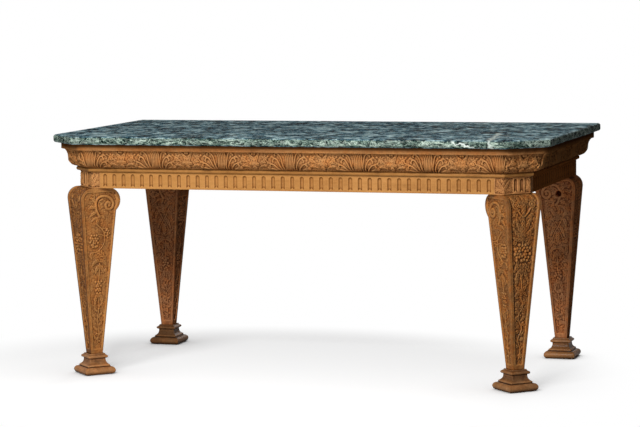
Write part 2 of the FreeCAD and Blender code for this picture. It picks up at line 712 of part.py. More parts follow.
def volute_groove():
    """Groove that winds once round between the scroll's turns and narrows towards the eye."""
    inside = "(dims.volute_radius - dims.panel_border)"
    quarters = ((0, 1), (-1, 0), (0, -1), (1, 0), (0, 1))

    def turn_points(shares):
        radii = [f"({inside} * {share})" for share in shares]
        spots = []
        for radius, (x_way, z_way) in zip(radii, quarters):
            spots.append((f"-dims.volute_offset + {x_way} * {radius}", f"{VOLUTE_Z} + {z_way} * {radius}"))
        return radii, spots

    outer_radii, outer = turn_points(GROOVE_OUTER_SHARES)
    inner_radii, inner = turn_points(GROOVE_INNER_SHARES)
    points = [("-dims.volute_offset + dims.volute_radius", f"{VOLUTE_Z} + {outer_radii[0]}")]
    for index in range(len(outer) - 1):
        points.append((*outer[index], f"({outer_radii[index]} + {outer_radii[index + 1]}) / 2", -1))
    points.append(outer[-1])
    for index in range(len(inner) - 1, 0, -1):
        points.append((*inner[index], f"({inner_radii[index]} + {inner_radii[index - 1]}) / 2", 1))
    points.append((*inner[0], f"({inner_radii[0]} + dims.volute_radius) / 2", 1))
    points.append(("-dims.volute_offset + dims.volute_radius", VOLUTE_Z))
    return prism("volute_groove", SIDE_PLANE, points, "2 * dims.leg_top_width")


def leg_shaft():
    """Tapered square shaft with a rounded outer shoulder, an inward scroll and four sunk panels."""
    wide = "2 * dims.leg_top_width"
    shoulder = f"({leg_half(SHOULDER_Z)} - dims.leg_shoulder_radius)"
    side = prism("leg_side", SIDE_PLANE, [
        (f"-{leg_half('dims.foot_height')}", "dims.foot_height"),
        (leg_half("dims.foot_height"), "dims.foot_height"),
        (leg_half(SHOULDER_Z), SHOULDER_Z, "dims.leg_shoulder_radius", -1),
        (shoulder, FRAME_BOTTOM),
        ("-dims.volute_offset", FRAME_BOTTOM),
        (f"-{leg_inner(VOLUTE_Z)}", VOLUTE_Z),
    ], wide)
    scroll = cylinder("leg_scroll", "dims.volute_radius", wide, "-dims.volute_offset",
                      "-dims.leg_top_width", VOLUTE_Z, ALONG_Y)
    blank = common("leg_blank", fuse("leg_side_and_scroll", side, scroll),
                   taper("leg_taper", "0", "dims.foot_height", FRAME_BOTTOM, wide))
    inner_corner = f"-{leg_inner(PANEL_BOTTOM, 'dims.panel_inner_border')}"
    panel = prism("side_panel", SIDE_PLANE, [
        (inner_corner, PANEL_BOTTOM),
        (leg_half(PANEL_BOTTOM, "dims.panel_border"), PANEL_BOTTOM),
        (leg_half(SHOULDER_Z, "dims.panel_border"), SHOULDER_Z,
         "(dims.leg_shoulder_radius - dims.panel_border)", -1),
        (shoulder, f"{FRAME_BOTTOM} - dims.panel_border"),
        ("-dims.volute_offset", f"{FRAME_BOTTOM} - dims.panel_border"),
        ("-dims.volute_offset", VOLUTE_Z),
        (f"-{leg_inner(VOLUTE_Z, 'dims.panel_inner_border')}", VOLUTE_Z),
    ], wide)
    side_sunk = cut("side_sunk", fuse("side_ornament", cut("side_field", panel, scroll), volute_groove()),
                    taper("side_core", "dims.panel_depth", "dims.foot_height", FRAME_BOTTOM, wide))
    outer_core = prism("outer_core", SIDE_PLANE, [
        (f"-{leg_half('dims.foot_height')}", "dims.foot_height"),
        (leg_half("dims.foot_height", "dims.panel_depth"), "dims.foot_height"),
        (leg_half(SHOULDER_Z, "dims.panel_depth"), SHOULDER_Z,
         "(dims.leg_shoulder_radius - dims.panel_depth)", -1),
        (shoulder, f"{FRAME_BOTTOM} - dims.panel_depth"),
        (shoulder, f"{FRAME_BOTTOM} + dims.overrun"),
        (f"-{leg_half(FRAME_BOTTOM)}", f"{FRAME_BOTTOM} + dims.overrun"),
    ], wide)
    outer_sunk = cut("outer_sunk", taper("outer_panel", "dims.panel_border", PANEL_BOTTOM, FRAME_BOTTOM,
                                         "dims.leg_top_width", both_ways=False), outer_core)
    inner_top = f"({VOLUTE_Z} - dims.volute_radius - dims.panel_inner_border)"
    inner_panel = taper("inner_panel", "dims.panel_border", PANEL_BOTTOM, inner_top, "dims.leg_top_width",
                        both_ways=False)
    inner_panel.Reversed = True
    inner_core = prism("inner_core", SIDE_PLANE, [
        (f"-{leg_inner('dims.foot_height', 'dims.panel_depth')}", "dims.foot_height"),
        (leg_half("dims.foot_height"), "dims.foot_height"),
        (leg_half(FRAME_BOTTOM), FRAME_BOTTOM),
        (f"-{leg_inner(FRAME_BOTTOM, 'dims.panel_depth')}", FRAME_BOTTOM),
    ], wide)
    inner_sunk = cut("inner_sunk", inner_panel, inner_core)
    return cut("leg_shaft", blank, fuse("sunk_panels", side_sunk, outer_sunk, inner_sunk))


def leg(name, shaft, tenon_centre, tenon_side, x, y, angle):
    """Shaft with a pegged tenon on top and a square spigot below, set at its corner of the frame."""
    wide = "dims.leg_tenon_width"
    corner = (f"{tenon_centre} - {wide} / 2", f"{tenon_side} - {wide} / 2", VOLUTE_Z)
    rise = f"{FRAME_BOTTOM} + dims.leg_tenon_height - {VOLUTE_Z}"
    block = box(f"{name}_tenon", corner, (wide, wide, rise))
    hole = peg(f"{name}_peg_hole", grown("dims.peg_diameter"), "2 * dims.leg_top_width",
               "-dims.leg_top_width", tenon_side, PEG_LEVEL, ALONG_X)
    spigot = spigot_block(f"{name}_spigot", "dims.spigot_width", "dims.spigot_length")
    whole = fuse(name, shaft, cut(f"{name}_drilled_tenon", block, hole), spigot)
    place(whole, x, y, "0", FreeCAD.Rotation(Vector(0, 0, 1), angle))
    return whole


def spigot_block(name, width, length):
    """Square stub on the axis of a leg, from its length below the leg's end to just inside the leg."""
    corner = (f"-{width} / 2", f"-{width} / 2", f"dims.foot_height - {length}")
    return box(name, corner, (width, width, f"{length} + dims.overrun"))


def legs():
    """Front legs stand on the diagonal, back legs square; one back leg has a hole drilled in its side."""
    shaft = leg_shaft()
    level = f"({FRAME_BOTTOM} - dims.open_hole_drop)"
    depth = "dims.open_hole_depth + dims.overrun"
    drilling = cylinder("open_hole", "dims.open_hole_diameter / 2", depth, "0",
                        f"-{leg_half(level)} - dims.overrun", level, ALONG_Y)
    front = leg("front_leg", shaft, FRONT_TENON, "0", FRONT_LEG_X, FRONT_LEG_Y, -45)
    keep(front, "front_right_leg")
    keep(mirror("front_left_leg", front), "front_left_leg")
    back = (BACK_TENON, f"({BACK_TENON_Y} - {BACK_LEG_Y})", BACK_LEG_X, BACK_LEG_Y, 0)
    drilled = leg("drilled_leg", cut("drilled_shaft", shaft, drilling), *back)
    keep(drilled, "back_right_leg")
    plain = leg("plain_leg", shaft, *back)
    keep(mirror("back_left_leg", plain), "back_left_leg")


def foot_outline():
    """Section of a foot, right half then left: torus, fillet, cavetto, neck, collar and sloped top."""
    torus = "(dims.torus_height / 2)"
    fillet = "(dims.torus_height + dims.foot_fillet_height)"
    neck = f"({fillet} + dims.cavetto_height)"
    collar = f"({neck} + dims.neck_height)"
    collar_top = f"({collar} + dims.collar_height)"
    collar_side = "(dims.neck_half_width + dims.collar_seat)"
    right = [
        (f"(dims.torus_half_width - {torus})", "0", torus, 1),
        ("dims.torus_half_width", torus, torus, 1),
        (f"(dims.torus_half_width - {torus})", "dims.torus_height", None, 1),
        ("dims.foot_fillet_half_width", "dims.torus_height", None, 1),
        ("dims.foot_fillet_half_width", fillet, "dims.cavetto_radius", -1),
        ("dims.neck_half_width", neck, None, 1),
        ("dims.neck_half_width", collar, None, 1),
        (collar_side, collar, "dims.collar_radius", 1),
        (collar_side, collar_top, None, 1),
        ("dims.neck_half_width", collar_top, None, 1),
        ("dims.foot_top_half_width", "dims.foot_height", None, 1),
    ]
    points = []
    for x, z, radius, swell in right:
        points.append((x, z, radius, -swell) if radius else (x, z))
    # On the way down the left side, the curve that led up to a point leads away from it.
    for index in range(len(right) - 1, -1, -1):
        x, z = right[index][0], right[index][1]
        radius, swell = right[index - 1][2:] if index else (None, 1)
        points.append((f"-{x}", z, radius, -swell) if radius else (f"-{x}", z))
    return points


def feet():
    """Moulded square feet, mortised for the spigots of the legs."""
    wide = "4 * dims.torus_half_width"
    block = common("foot_block", prism("foot_side", SIDE_PLANE, foot_outline(), wide),
                   prism("foot_front", FRONT_PLANE, foot_outline(), wide))
    deep = "(dims.spigot_length + dims.mortise_relief)"
    bore = spigot_block("foot_bore", grown("dims.spigot_width"), deep)
    spots = (("front", FRONT_LEG_X, FRONT_LEG_Y, -45), ("back", BACK_LEG_X, BACK_LEG_Y, 0))
    for end, x, y, angle in spots:
        foot = cut(f"{end}_foot", block, bore)
        place(foot, x, y, "0", FreeCAD.Rotation(Vector(0, 0, 1), angle))
        keep(foot, f"{end}_right_foot")
        keep(mirror(f"{end}_left_foot", foot), f"{end}_left_foot")


marble_top()
front_rail()
back_rail()
end_rails()
front_posts()
back_posts()
bearers()
glue_blocks()
leg_pegs()
mouldings("cornice", cornice_outline)
mouldings("bead", bead_outline)
legs()
feet()
doc.recompute()

faulty = [item.Label for item in doc.Objects if {"Invalid", "Error"} & set(item.State)]
if faulty:
    raise RuntimeError(f"failed to rebuild: {faulty}")
for label, item in nodes.items():
    if item.Shape.isNull() or not item.Shape.isValid() or not item.Shape.Solids:
        raise RuntimeError(f"{label} is not a valid solid")

os.makedirs("parts", exist_ok=True)
for label, item in nodes.items():
    item.Shape.exportStep(f"parts/{label}.step")
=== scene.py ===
import math

import bpy
import numpy as np
from mathutils import Matrix, Vector

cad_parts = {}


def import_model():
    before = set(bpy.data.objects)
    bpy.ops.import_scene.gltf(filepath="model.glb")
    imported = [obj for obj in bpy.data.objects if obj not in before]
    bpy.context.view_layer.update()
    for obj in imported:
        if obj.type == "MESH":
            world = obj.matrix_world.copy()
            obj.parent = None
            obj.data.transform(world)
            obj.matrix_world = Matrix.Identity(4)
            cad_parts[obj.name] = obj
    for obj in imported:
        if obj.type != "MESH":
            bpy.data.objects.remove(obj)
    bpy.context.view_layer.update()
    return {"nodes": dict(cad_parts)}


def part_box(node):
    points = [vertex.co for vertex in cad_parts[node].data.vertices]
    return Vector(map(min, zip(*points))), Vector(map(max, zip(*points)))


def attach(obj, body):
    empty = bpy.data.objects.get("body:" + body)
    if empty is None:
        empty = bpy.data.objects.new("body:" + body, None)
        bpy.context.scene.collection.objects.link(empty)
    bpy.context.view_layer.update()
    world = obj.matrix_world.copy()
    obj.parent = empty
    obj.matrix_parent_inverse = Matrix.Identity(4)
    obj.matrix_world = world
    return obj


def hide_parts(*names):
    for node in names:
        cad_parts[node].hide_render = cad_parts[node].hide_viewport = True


# Dresses the carved side table: relief carving on legs, cornice and apron, wood and marble finishes,
# a pale studio floor with soft light, and the camera of the photograph. Shapes are in millimetres
# until a mesh is made; Blender itself works in metres.

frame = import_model()

MM = 0.001
WOOD_BODY = "table_frame"
HANDS = (("right", 1), ("left", -1))
HALF_CORNER = math.radians(22.5)
MITRE = math.tan(HALF_CORNER)
ROOT_HALF = math.sqrt(0.5)


def span(node):
    """Lowest and highest corner of a node, in millimetres."""
    low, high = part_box(node)
    return np.array(low) / MM, np.array(high) / MM


def centre_of(node):
    """Middle of a node's box, in millimetres."""
    low, high = span(node)
    return (low + high) / 2


# Places read from the frame
post_low, post_high = span("front_right_post")
back_post_low, back_post_high = span("back_right_post")
cornice_low, cornice_high = span("front_cornice")
leg_low, leg_high = span("back_right_leg")
RAIL_END, FRAME_END = post_low[0], post_high[0]
FRAME_FRONT, FRAME_BACK = post_low[1], back_post_high[1]
END_RAIL_FRONT, END_RAIL_BACK = post_high[1], back_post_low[1]
FRAME_BOTTOM, FRAME_TOP = post_low[2], post_high[2]
APRON_TOP, CYMA_BOTTOM = span("front_bead")[0][2], cornice_low[2]
PROJECTION = FRAME_FRONT - cornice_low[1]
CANT = FRAME_END - (cornice_high[0] - MITRE * PROJECTION)
CANT_LENGTH = CANT / ROOT_HALF
POST_DEPTH = FRAME_END - back_post_low[0]
LEG_FOOT = span("front_right_foot")[1][2]
LEG_TOP = FRAME_BOTTOM
LEG_TOP_HALF = (leg_high[1] - leg_low[1]) / 2

rng = np.random.default_rng(7)


# Curves and carving

STROKE_STEP = 1.2
# Spots deeper than this are bored holes, painted fully dark as shade
BORED_BELOW = -12.0


def smooth(low, high, x):
    """Smooth step from 0 at low to 1 at high."""
    k = np.clip((x - low) / (high - low), 0.0, 1.0)
    return k * k * (3 - 2 * k)


def joined(*parts):
    """Coordinates put together as points."""
    return np.stack(parts, -1)


def lengths_along(curve):
    """Length of a curve up to each of its points."""
    return np.concatenate([[0], np.cumsum(np.linalg.norm(np.diff(curve, axis=0), axis=1))])


def spline(points):
    """Smooth curve through points, evenly sampled, with the share of its length."""
    pts = np.asarray(points, float)
    padded = np.vstack([2 * pts[0] - pts[1], pts, 2 * pts[-1] - pts[-2]])
    pieces = []
    for a, b, c, d in zip(padded, padded[1:], padded[2:], padded[3:]):
        count = max(int(np.linalg.norm(c - b) / STROKE_STEP), 2)
        t = np.linspace(0, 1, count, endpoint=False)[:, None]
        pieces.append(0.5 * (2 * b + (c - a) * t + (2 * a - 5 * b + 4 * c - d) * t ** 2
                             + (3 * b - a - 3 * c + d) * t ** 3))
    curve = np.vstack(pieces + [pts[-1:]])
    lengths = lengths_along(curve)
    return curve, lengths / lengths[-1]


def arc(start, end, radius, bulge, count):
    """Points of a circular arc between two points of a section; bulge picks its side."""
    start, end = np.array(start, float), np.array(end, float)
    chord = end - start
    length = np.linalg.norm(chord)
    normal = np.array([chord[1], -chord[0]]) / length
    centre = (start + end) / 2 - bulge * normal * math.sqrt(radius ** 2 - length ** 2 / 4)
    first = np.arctan2(*(start - centre)[::-1])
    sweep = np.arctan2(*(end - centre)[::-1]) - first
    sweep = (sweep + math.pi) % (2 * math.pi) - math.pi
    angle = first + sweep * np.linspace(0, 1, count)
    return centre + radius * joined(np.cos(angle), np.sin(angle))


def blur(field, radius):
    """Mean over a square window, run twice for a soft edge."""
    width = 2 * radius + 1
    for axis in (0, 1, 0, 1):
        pad = [(0, 0), (0, 0)]
        pad[axis] = (radius + 1, radius)
        total = np.cumsum(np.pad(field, pad, mode="edge"), axis)
        count = field.shape[axis]
        high = np.take(total, range(width, width + count), axis)
        field = (high - np.take(total, range(count), axis)) / width
    return field


class Carving:
    """Height map over a flat field, in millimetres, on which strokes of relief are raised."""

    def __init__(self, low, high, pitch=1.0):
        self.low, self.pitch = np.array(low, float), pitch
        self.lift = self.soil_and_shade = 0.0
        size = np.ceil((np.array(high) - self.low) / pitch).astype(int) + 1
        self.x, self.y = (self.low[axis] + pitch * np.arange(size[axis]) for axis in (0, 1))
        self.height = np.zeros((size[1], size[0]))

    def window(self, points, margin):
        """The part of the field near some points: index ranges and coordinates."""
        low = np.floor((points.min(0) - margin - self.low) / self.pitch).astype(int)
        high = np.ceil((points.max(0) + margin - self.low) / self.pitch).astype(int) + 1
        columns, rows = (slice(max(first, 0), max(min(last, len(line)), 0))
                         for first, last, line in zip(low, high, (self.x, self.y)))
        return (rows, columns), *np.meshgrid(self.x[columns], self.y[rows])

    def beside(self, points, margin):
        """The part of the field beside a curve: index ranges, signed distance and share of the length."""
        curve, share = spline(points)
        part, x, y = self.window(curve, margin)
        gap = (x[..., None] - curve[:, 0]) ** 2 + (y[..., None] - curve[:, 1]) ** 2
        index = gap.argmin(-1)
        tangent = np.gradient(curve, axis=0)
        side = tangent[index, 0] * (y - curve[index, 1]) - tangent[index, 1] * (x - curve[index, 0])
        return part, np.sqrt(gap.min(-1)) * np.sign(side), share[index]

    def raise_to(self, part, height):
        self.height[part] = np.maximum(self.height[part], height)

    def ridge(self, points, width, height, end_width):
        """Rounded stem along a curve, which changes width to its end."""
        part, distance, along = self.beside(points, width + 2)
        half = width + end_width * along - width * along
        self.raise_to(part, height * np.sqrt(np.clip(1 - (distance / half) ** 2, 0, 1)))

    def boss(self, centre, radius, height):
        """Round pearl or berry."""
        part, x, y = self.window(np.array([centre], float), radius + 1)
        gap = ((x - centre[0]) ** 2 + (y - centre[1]) ** 2) / radius ** 2
        self.raise_to(part, height * np.sqrt(np.clip(1 - gap, 0, 1)))

    def scroll(self, centre, radius, turns, start, way, width, height, lead=()):
        """Stem that winds into a spiral with a round eye; lead gives points on the way in."""
        angle = np.linspace(0, 2 * math.pi * turns, int(16 * turns) + 2)
        reach = radius * (1 - 0.72 * angle / angle[-1])
        turn = math.radians(start) + way * angle
        winding = joined(centre[0] + reach * np.cos(turn), centre[1] + reach * np.sin(turn))
        self.ridge(np.vstack([np.array(lead).reshape(-1, 2), winding]), width, height, 0.6 * width)
        self.boss(centre, 0.3 * radius + 0.5, height)

    def leaf(self, points, width, height, lobes):
        """Lobed leaf along a curved midrib, with raised lobes and veins cut between them."""
        part, distance, along = self.beside(points, 1.5 * width)
        body = np.sin(math.pi * np.clip(0.08 + 0.92 * along, 0, 1) ** 0.75)
        phase = 1.4 * lobes * (along + 0.25 * np.abs(distance) / width)
        tooth = np.abs(np.cos(math.pi * phase))
        outline = width * (0.25 + 0.75 * body) * (0.66 + 0.34 * tooth)
        reach = np.clip(1 - (distance / outline) ** 2, 0, 1)
        veins = 0.5 + 0.5 * tooth
        rib = 1 - 0.5 * np.exp(-distance ** 2)
        ends = smooth(0, 0.06, along + 0.02) * smooth(0, 0.05, 1.02 - along)
        self.raise_to(part, height * reach ** 0.45 * veins * rib * np.sqrt(ends))

    def leaves(self, *rows, middle=0, rise=1, ways=(1, -1)):
        """Leaves, each given by its midrib, width, height and lobes, on both sides of a middle line."""
        for midrib, width, height, lobes in rows:
            for way in ways:
                self.leaf([(middle + way * x, rise * y) for x, y in midrib], width, height, lobes)

    def climbing(self, levels, midrib, width, height, lobes, middle=0):
        """Leaves at some levels, to the left and right of a stem by turns."""
        for index, level in enumerate(levels):
            way = 1 if index % 2 else -1
            self.leaf([(middle + way * x, level + y) for x, y in midrib], width, height, lobes)

    def grapes(self, centre, width, tall, berry, height):
        """Bunch of berries, staggered within an outline that is full above and rounded to a point below."""
        for row in range(int(tall / (1.7 * berry)) + 1):
            down = row * 1.7 * berry / tall
            half = 0.5 * width * math.sqrt(max(1 - abs((down - 0.4) / 0.62) ** 1.6, 0))
            for step in range(-8, 9):
                offset = (step + 0.5 * (row % 2)) * 1.96 * berry
                if abs(offset) <= half:
                    spot = (centre[0] + offset + rng.normal(0, 0.3 * berry),
                            centre[1] + tall / 2 - down * tall + rng.normal(0, 0.4 * berry))
                    self.boss(spot, berry * rng.uniform(0.9, 1.08), height * rng.uniform(0.88, 1.05))

    def fill(self, mask, size, height):
        """Small curled leaves, each with a pearl, wherever the ground inside a mask is still bare."""
        for y in np.arange(self.y[0] + 0.5 * size, self.y[-1], 0.8 * size):
            for x in np.arange(self.x[0] + 0.5 * size, self.x[-1], 0.8 * size):
                spot = np.array([x, y]) + rng.uniform(-0.25, 0.25, 2) * size
                part = self.window(spot[None], 0.25 * size)[0]
                inside = mask[part]
                if not inside.size or inside.min() < 0.9 or self.height[part].mean() > 0.3 * height:
                    continue
                angle = rng.uniform(0, 2 * math.pi)
                step = rng.uniform(0.45, 0.7) * size * np.array([math.cos(angle), math.sin(angle)])
                bend = rng.choice((-0.5, 0.5)) * np.array([-step[1], step[0]])
                self.leaf([spot - step, spot + bend, spot + step], 0.36 * size, height, 2)
                self.boss(spot - bend, 0.15 * size, height)

    def stipple(self, height):
        """Punched ground: fine uneven dents."""
        grain = blur(rng.random(self.height.shape), 1)
        grain = (grain - grain.mean()) / grain.std()
        self.height += height * np.clip(grain, -1.5, 1.5) * (self.height < 0.3)

    def sample(self, field, x, y):
        """Values of a field of this map at points, between its samples."""
        column = np.clip((x - self.low[0]) / self.pitch, 0, len(self.x) - 1.001)
        row = np.clip((y - self.low[1]) / self.pitch, 0, len(self.y) - 1.001)
        c, r = column.astype(int), row.astype(int)
        u, v = column - c, row - r
        upper = field[r + 1, c] * (1 - u) + field[r + 1, c + 1] * u
        return (field[r, c] * (1 - u) + field[r, c + 1] * u) * (1 - v) + upper * v

    def hollows(self):
        """How far each spot lies below (1) or above (-1) its surroundings, plus its dirt and painted shade;
        the wood darkens spots below as dirt and painted shade. Bored holes count in full, painted dark as
        shade.
        """
        near, far = (max(round(reach / self.pitch), 1) for reach in (1.5, 4.0))
        worn, lifted = (0.65 * (blur(level, near) - level) + 0.25 * (blur(level, far) - level)
                        for level in (self.height, self.height + self.lift))
        dirt_and_shade = np.clip(np.where(worn < 0, worn, lifted) + self.soil_and_shade, -1, 1)
        return np.where(self.height < BORED_BELOW, 1, dirt_and_shade)


# Meshes: points, arrays of faces, and how hollow each point lies

def tube_faces(rows, columns):
    """Quads of a grid of rows whose columns close on themselves, with a cap on each end."""
    first = np.arange(rows - 1)[:, None] * columns
    here = np.arange(columns)[None, :]
    there = (here + 1) % columns
    quads = joined(first + here, first + there, first + columns + there, first + columns + here)
    caps = np.stack([np.arange(columns)[::-1], (rows - 1) * columns + np.arange(columns)])
    return [quads.reshape(-1, 4), caps]


def flip(faces):
    """Faces turned to look the other way."""
    return [f[:, ::-1] for f in faces]


def placed(mesh, spot, turn, way=1):
    """A mesh turned about z, mirrored in x where way is -1, and set at a spot."""
    points, faces, hollow = mesh
    angle = math.radians(turn)
    x, y, z = points.T
    across = x * math.cos(angle) - y * math.sin(angle)
    back = x * math.sin(angle) + y * math.cos(angle)
    return joined(spot[0] + way * across, spot[1] + back, z), faces if way > 0 else flip(faces), hollow


def show(obj):
    """Puts an object in the scene."""
    bpy.context.scene.collection.objects.link(obj)
    return obj


def piece(node, suffix, mesh, material):
    """Makes a mesh in millimetres the shown piece for a node, with its hollows as an attribute."""
    points, faces, hollow = mesh
    name = f"{node}_{suffix}"
    data = bpy.data.meshes.new(name)
    corners = [face for group in faces for face in group.tolist()]
    data.from_pydata((points * MM).tolist(), [], corners, shade_flat=False)
    data.validate()
    tint = data.attributes.new("hollow", "FLOAT", "POINT")
    tint.data.foreach_set("value", np.asarray(hollow, np.float32).ravel())
    data.materials.append(material)
    obj = show(bpy.data.objects.new(name, data))
    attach(obj, WOOD_BODY)
    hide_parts(node)


def twins(node, suffix, mesh, spot, turn, material):
    """A carved piece on the right of the table, and its mirror image on the left."""
    for hand, way in HANDS:
        here = placed(mesh, (way * spot[0], spot[1]), turn, way)
        piece(node.format(hand), suffix, here, material)


def section_normals(profile):
    """Outward unit normals of an open run of section points."""
    step = np.gradient(profile, axis=0)
    normal = joined(step[:, 1], -step[:, 0])
    return normal / np.linalg.norm(normal, axis=1, keepdims=True)


def run_mesh(profile, normals, length, mitres, carving, pitch):
    """Moulding along x: a closed section (d, z) with mitred ends, carved on its first points.

    The carving is a field, its level at each of those points, its place for a place along the moulding,
    and the shares of its heights and hollows that show.
    """
    field, levels, place, *shares = carving
    near, far = mitres
    step = np.linspace(0, 1, int(length / pitch) + 1)[:, None]
    reach = profile[None, :, 0]
    x = -length / 2 - near * reach + step * (length + (near + far) * reach)
    p = place(x[:, :len(levels)])
    q = np.broadcast_to(levels, p.shape)
    plain = ((0, 0), (0, len(profile) - len(levels)))
    depth, hollow = (np.pad(field.sample(values, p, q) * share, plain)
                     for values, share in zip((field.height, field.hollows()), shares))
    d = reach + normals[None, :, 0] * depth
    z = profile[None, :, 1] + normals[None, :, 1] * depth
    for way, mitre in zip((-1, 1), mitres):
        if mitre:
            x, d = turned_corner(x, d, reach, way, length)
    points = joined(x, -d, z)
    return points.reshape(-1, 3), flip(tube_faces(*points.shape[:2])), hollow


def turned_corner(x, d, reach, way, length):
    """Carries a moulding round a corner on arcs about one centre, as far as the mitre."""
    start = length / 2 - CORNER_ROUND * MITRE
    share = np.clip((way * x - start) / (MITRE * (CORNER_ROUND + reach)), 0, 1)
    angle = HALF_CORNER * share
    radius = CORNER_ROUND + d
    return (np.where(share > 0, way * (start + radius * np.sin(angle)), x),
            np.where(share > 0, radius * np.cos(angle) - CORNER_ROUND, d))


# Legs, with sizes as in the part

LEG_BOTTOM_HALF = 23.75
LEG_INNER_SWELL = 9.5
LEG_CORNER = 2.6
SHOULDER_RADIUS = 41.0
VOLUTE_RADIUS = 47.0
VOLUTE_OFFSET = 39.0
SHOULDER_LEVEL = LEG_TOP - SHOULDER_RADIUS
SHOULDER_TURN = SHOULDER_RADIUS * math.pi / 2
VOLUTE_LEVEL = LEG_TOP - VOLUTE_RADIUS
VOLUTE_BOTTOM = VOLUTE_LEVEL - VOLUTE_RADIUS

# How far a leg stands in its foot, and its rows and columns of points
LEG_STAND = 5.5
LEG_ROW = 2.0
CURL_ROWS = 60
SIDE_COLUMNS = 66
FACE_COLUMNS = 60

# Sunk panels: depth, borders, the slope at their edge, the band of the volute by its turn, where they end,
# their filling, the unevenness of their ground, and how far relief may stand proud of the border
GROUND = 5.5
OUTER_BORDER = 11.5
INNER_BORDER = 7.5
TOP_BORDER = 15.5
FACE_BORDER = 12.0
FOOT_BORDER = 12.0
PANEL_SLOPE = 1.8
BAND_TURNS = (-90, -40, 20, 90)
BAND_WIDTHS = (9, 11, 14.5, 16)
INNER_PANEL_TOP = VOLUTE_BOTTOM - 8
OUTER_PANEL_TOP = SHOULDER_LEVEL + 2 * SHOULDER_TURN
FILLING_SIZE = 21.0
FILLING = {"outer": 3.8, "inner": 2.4, "vine": 1.5, "crossed": 2.8}
GROUND_DENTS = 0.45
GROUND_RIPPLE = 0.9
# Share of the sink counted as lifted when the hollows are measured, so the sunk ground gets less painted
# shade
GROUND_LIFT = 0.75
PROUD = 0.3

# Reach of the carved fields, past the edges of the faces
FACE_REACH = 72
SIDE_REACH = 90

# Old hole in the right back leg
HOLE_DROP = 63.0
HOLE_RADIUS = 10.5
HOLE_RIM = 0.7
HOLE_DEPTH = 36.0

# Each leg's share of painted light (its colours made lighter or darker for how much light it gets), how far
# its colour wanders, and the dirt and painted shade on its sides, outer and inner face
LEGS = {"front_left": (0.98, 0.35, (0.08, 0.66, 0.0)), "front_right": (0.82, 0.6, (0.22, 0.16, 0.0)),
        "back_left": (1.1, 0.5, (0.12, 0.1, 0.45)), "back_right": (1.25, 0.5, (0.06, 0.5, 0.0))}


def leg_half(level):
    """Half the width of the tapered leg at a level."""
    return LEG_BOTTOM_HALF + (LEG_TOP_HALF - LEG_BOTTOM_HALF) * (level - LEG_FOOT) / (LEG_TOP - LEG_FOOT)


def leg_inner(level):
    """Reach of the leg towards its inner face, which leans out further than the other three."""
    return leg_half(level) + LEG_INNER_SWELL * (level - LEG_FOOT) / (LEG_TOP - LEG_FOOT)


SHOULDER_CENTRE = leg_half(SHOULDER_LEVEL) - SHOULDER_RADIUS


def volute_break():
    """Level at which the inward scroll leaves the straight inner face."""
    levels = np.linspace(VOLUTE_BOTTOM, VOLUTE_LEVEL, 2000)
    reach = VOLUTE_OFFSET + np.sqrt(VOLUTE_RADIUS ** 2 - (levels - VOLUTE_LEVEL) ** 2)
    return levels[np.argmax(reach > leg_inner(levels))]


def leg_paths():
    """Inner and outer profile of a leg as (r, z) rows, their outward normals and unrolled heights."""
    level = volute_break()
    low = np.linspace(LEG_FOOT - LEG_STAND, level, int((level - LEG_FOOT) / LEG_ROW), endpoint=False)
    straight = SHOULDER_LEVEL - level
    rise = np.linspace(0, straight + SHOULDER_TURN, CURL_ROWS)
    bend = np.clip(rise - straight, 0, None) / SHOULDER_RADIUS
    outer_z = np.where(bend > 0, SHOULDER_LEVEL + SHOULDER_RADIUS * np.sin(bend), level + rise)
    outer_r = np.where(bend > 0, SHOULDER_CENTRE + SHOULDER_RADIUS * np.cos(bend), leg_half(outer_z))
    start = math.asin((level - VOLUTE_LEVEL) / VOLUTE_RADIUS)
    roll = np.linspace(start, math.pi / 2, CURL_ROWS)
    inner_r = -VOLUTE_OFFSET - VOLUTE_RADIUS * np.cos(roll)
    inner_z = VOLUTE_LEVEL + VOLUTE_RADIUS * np.sin(roll)
    flat = joined(np.ones_like(low), np.zeros_like(low))
    inner = (np.vstack([joined(-leg_inner(low), low), joined(inner_r, inner_z)]),
             np.vstack([-flat, joined(-np.cos(roll), np.sin(roll))]),
             np.concatenate([low, level + VOLUTE_RADIUS * (roll - start)]))
    outer = (np.vstack([joined(leg_half(low), low), joined(outer_r, outer_z)]),
             np.vstack([flat, joined(np.cos(bend), np.sin(bend))]),
             np.concatenate([low, level + rise]))
    return inner, outer


def columns(length, count):
    """Places across each row of a face, from its first rounded corner, and how far rounding sinks them."""
    turns = 2 * HALF_CORNER, HALF_CORNER
    places = [LEG_CORNER * (1 - math.sin(turn)) for turn in turns]
    sinks = [LEG_CORNER * (1 - math.cos(turn)) for turn in turns]
    middle = LEG_CORNER + np.linspace(0, 1, count)[None, :] * (length[:, None] - 2 * LEG_CORNER)
    first = np.broadcast_to(np.array(places), (len(length), 2))
    last = length[:, None] - places[1]
    return np.hstack([first, middle, last]), np.array(sinks + [0.0] * count + sinks[1:])


def side_panel_mask(field):
    """How far the sunk ground of a leg's side reaches, 0 on the border and 1 on the ground."""
    r, z = np.meshgrid(field.x, field.y)
    past_shoulder = (z > SHOULDER_LEVEL) & (r > SHOULDER_CENTRE)
    beyond = np.hypot(np.clip(r - SHOULDER_CENTRE, 0, None), np.clip(z - SHOULDER_LEVEL, 0, None))
    outer = np.where(past_shoulder, SHOULDER_RADIUS - beyond, leg_half(z) - r)
    turn = np.degrees(np.arctan2(z - VOLUTE_LEVEL, -(r + VOLUTE_OFFSET)))
    band = np.interp(turn, BAND_TURNS, BAND_WIDTHS)
    scroll = VOLUTE_RADIUS - np.hypot(r + VOLUTE_OFFSET, z - VOLUTE_LEVEL) - band
    inner = r + leg_inner(z) - INNER_BORDER
    inner = np.where(z < VOLUTE_BOTTOM, inner, np.maximum(inner, scroll))
    edges = [outer - OUTER_BORDER, LEG_TOP - TOP_BORDER - z, z - LEG_FOOT - FOOT_BORDER, inner]
    return smooth(0, PANEL_SLOPE, np.minimum.reduce(edges))


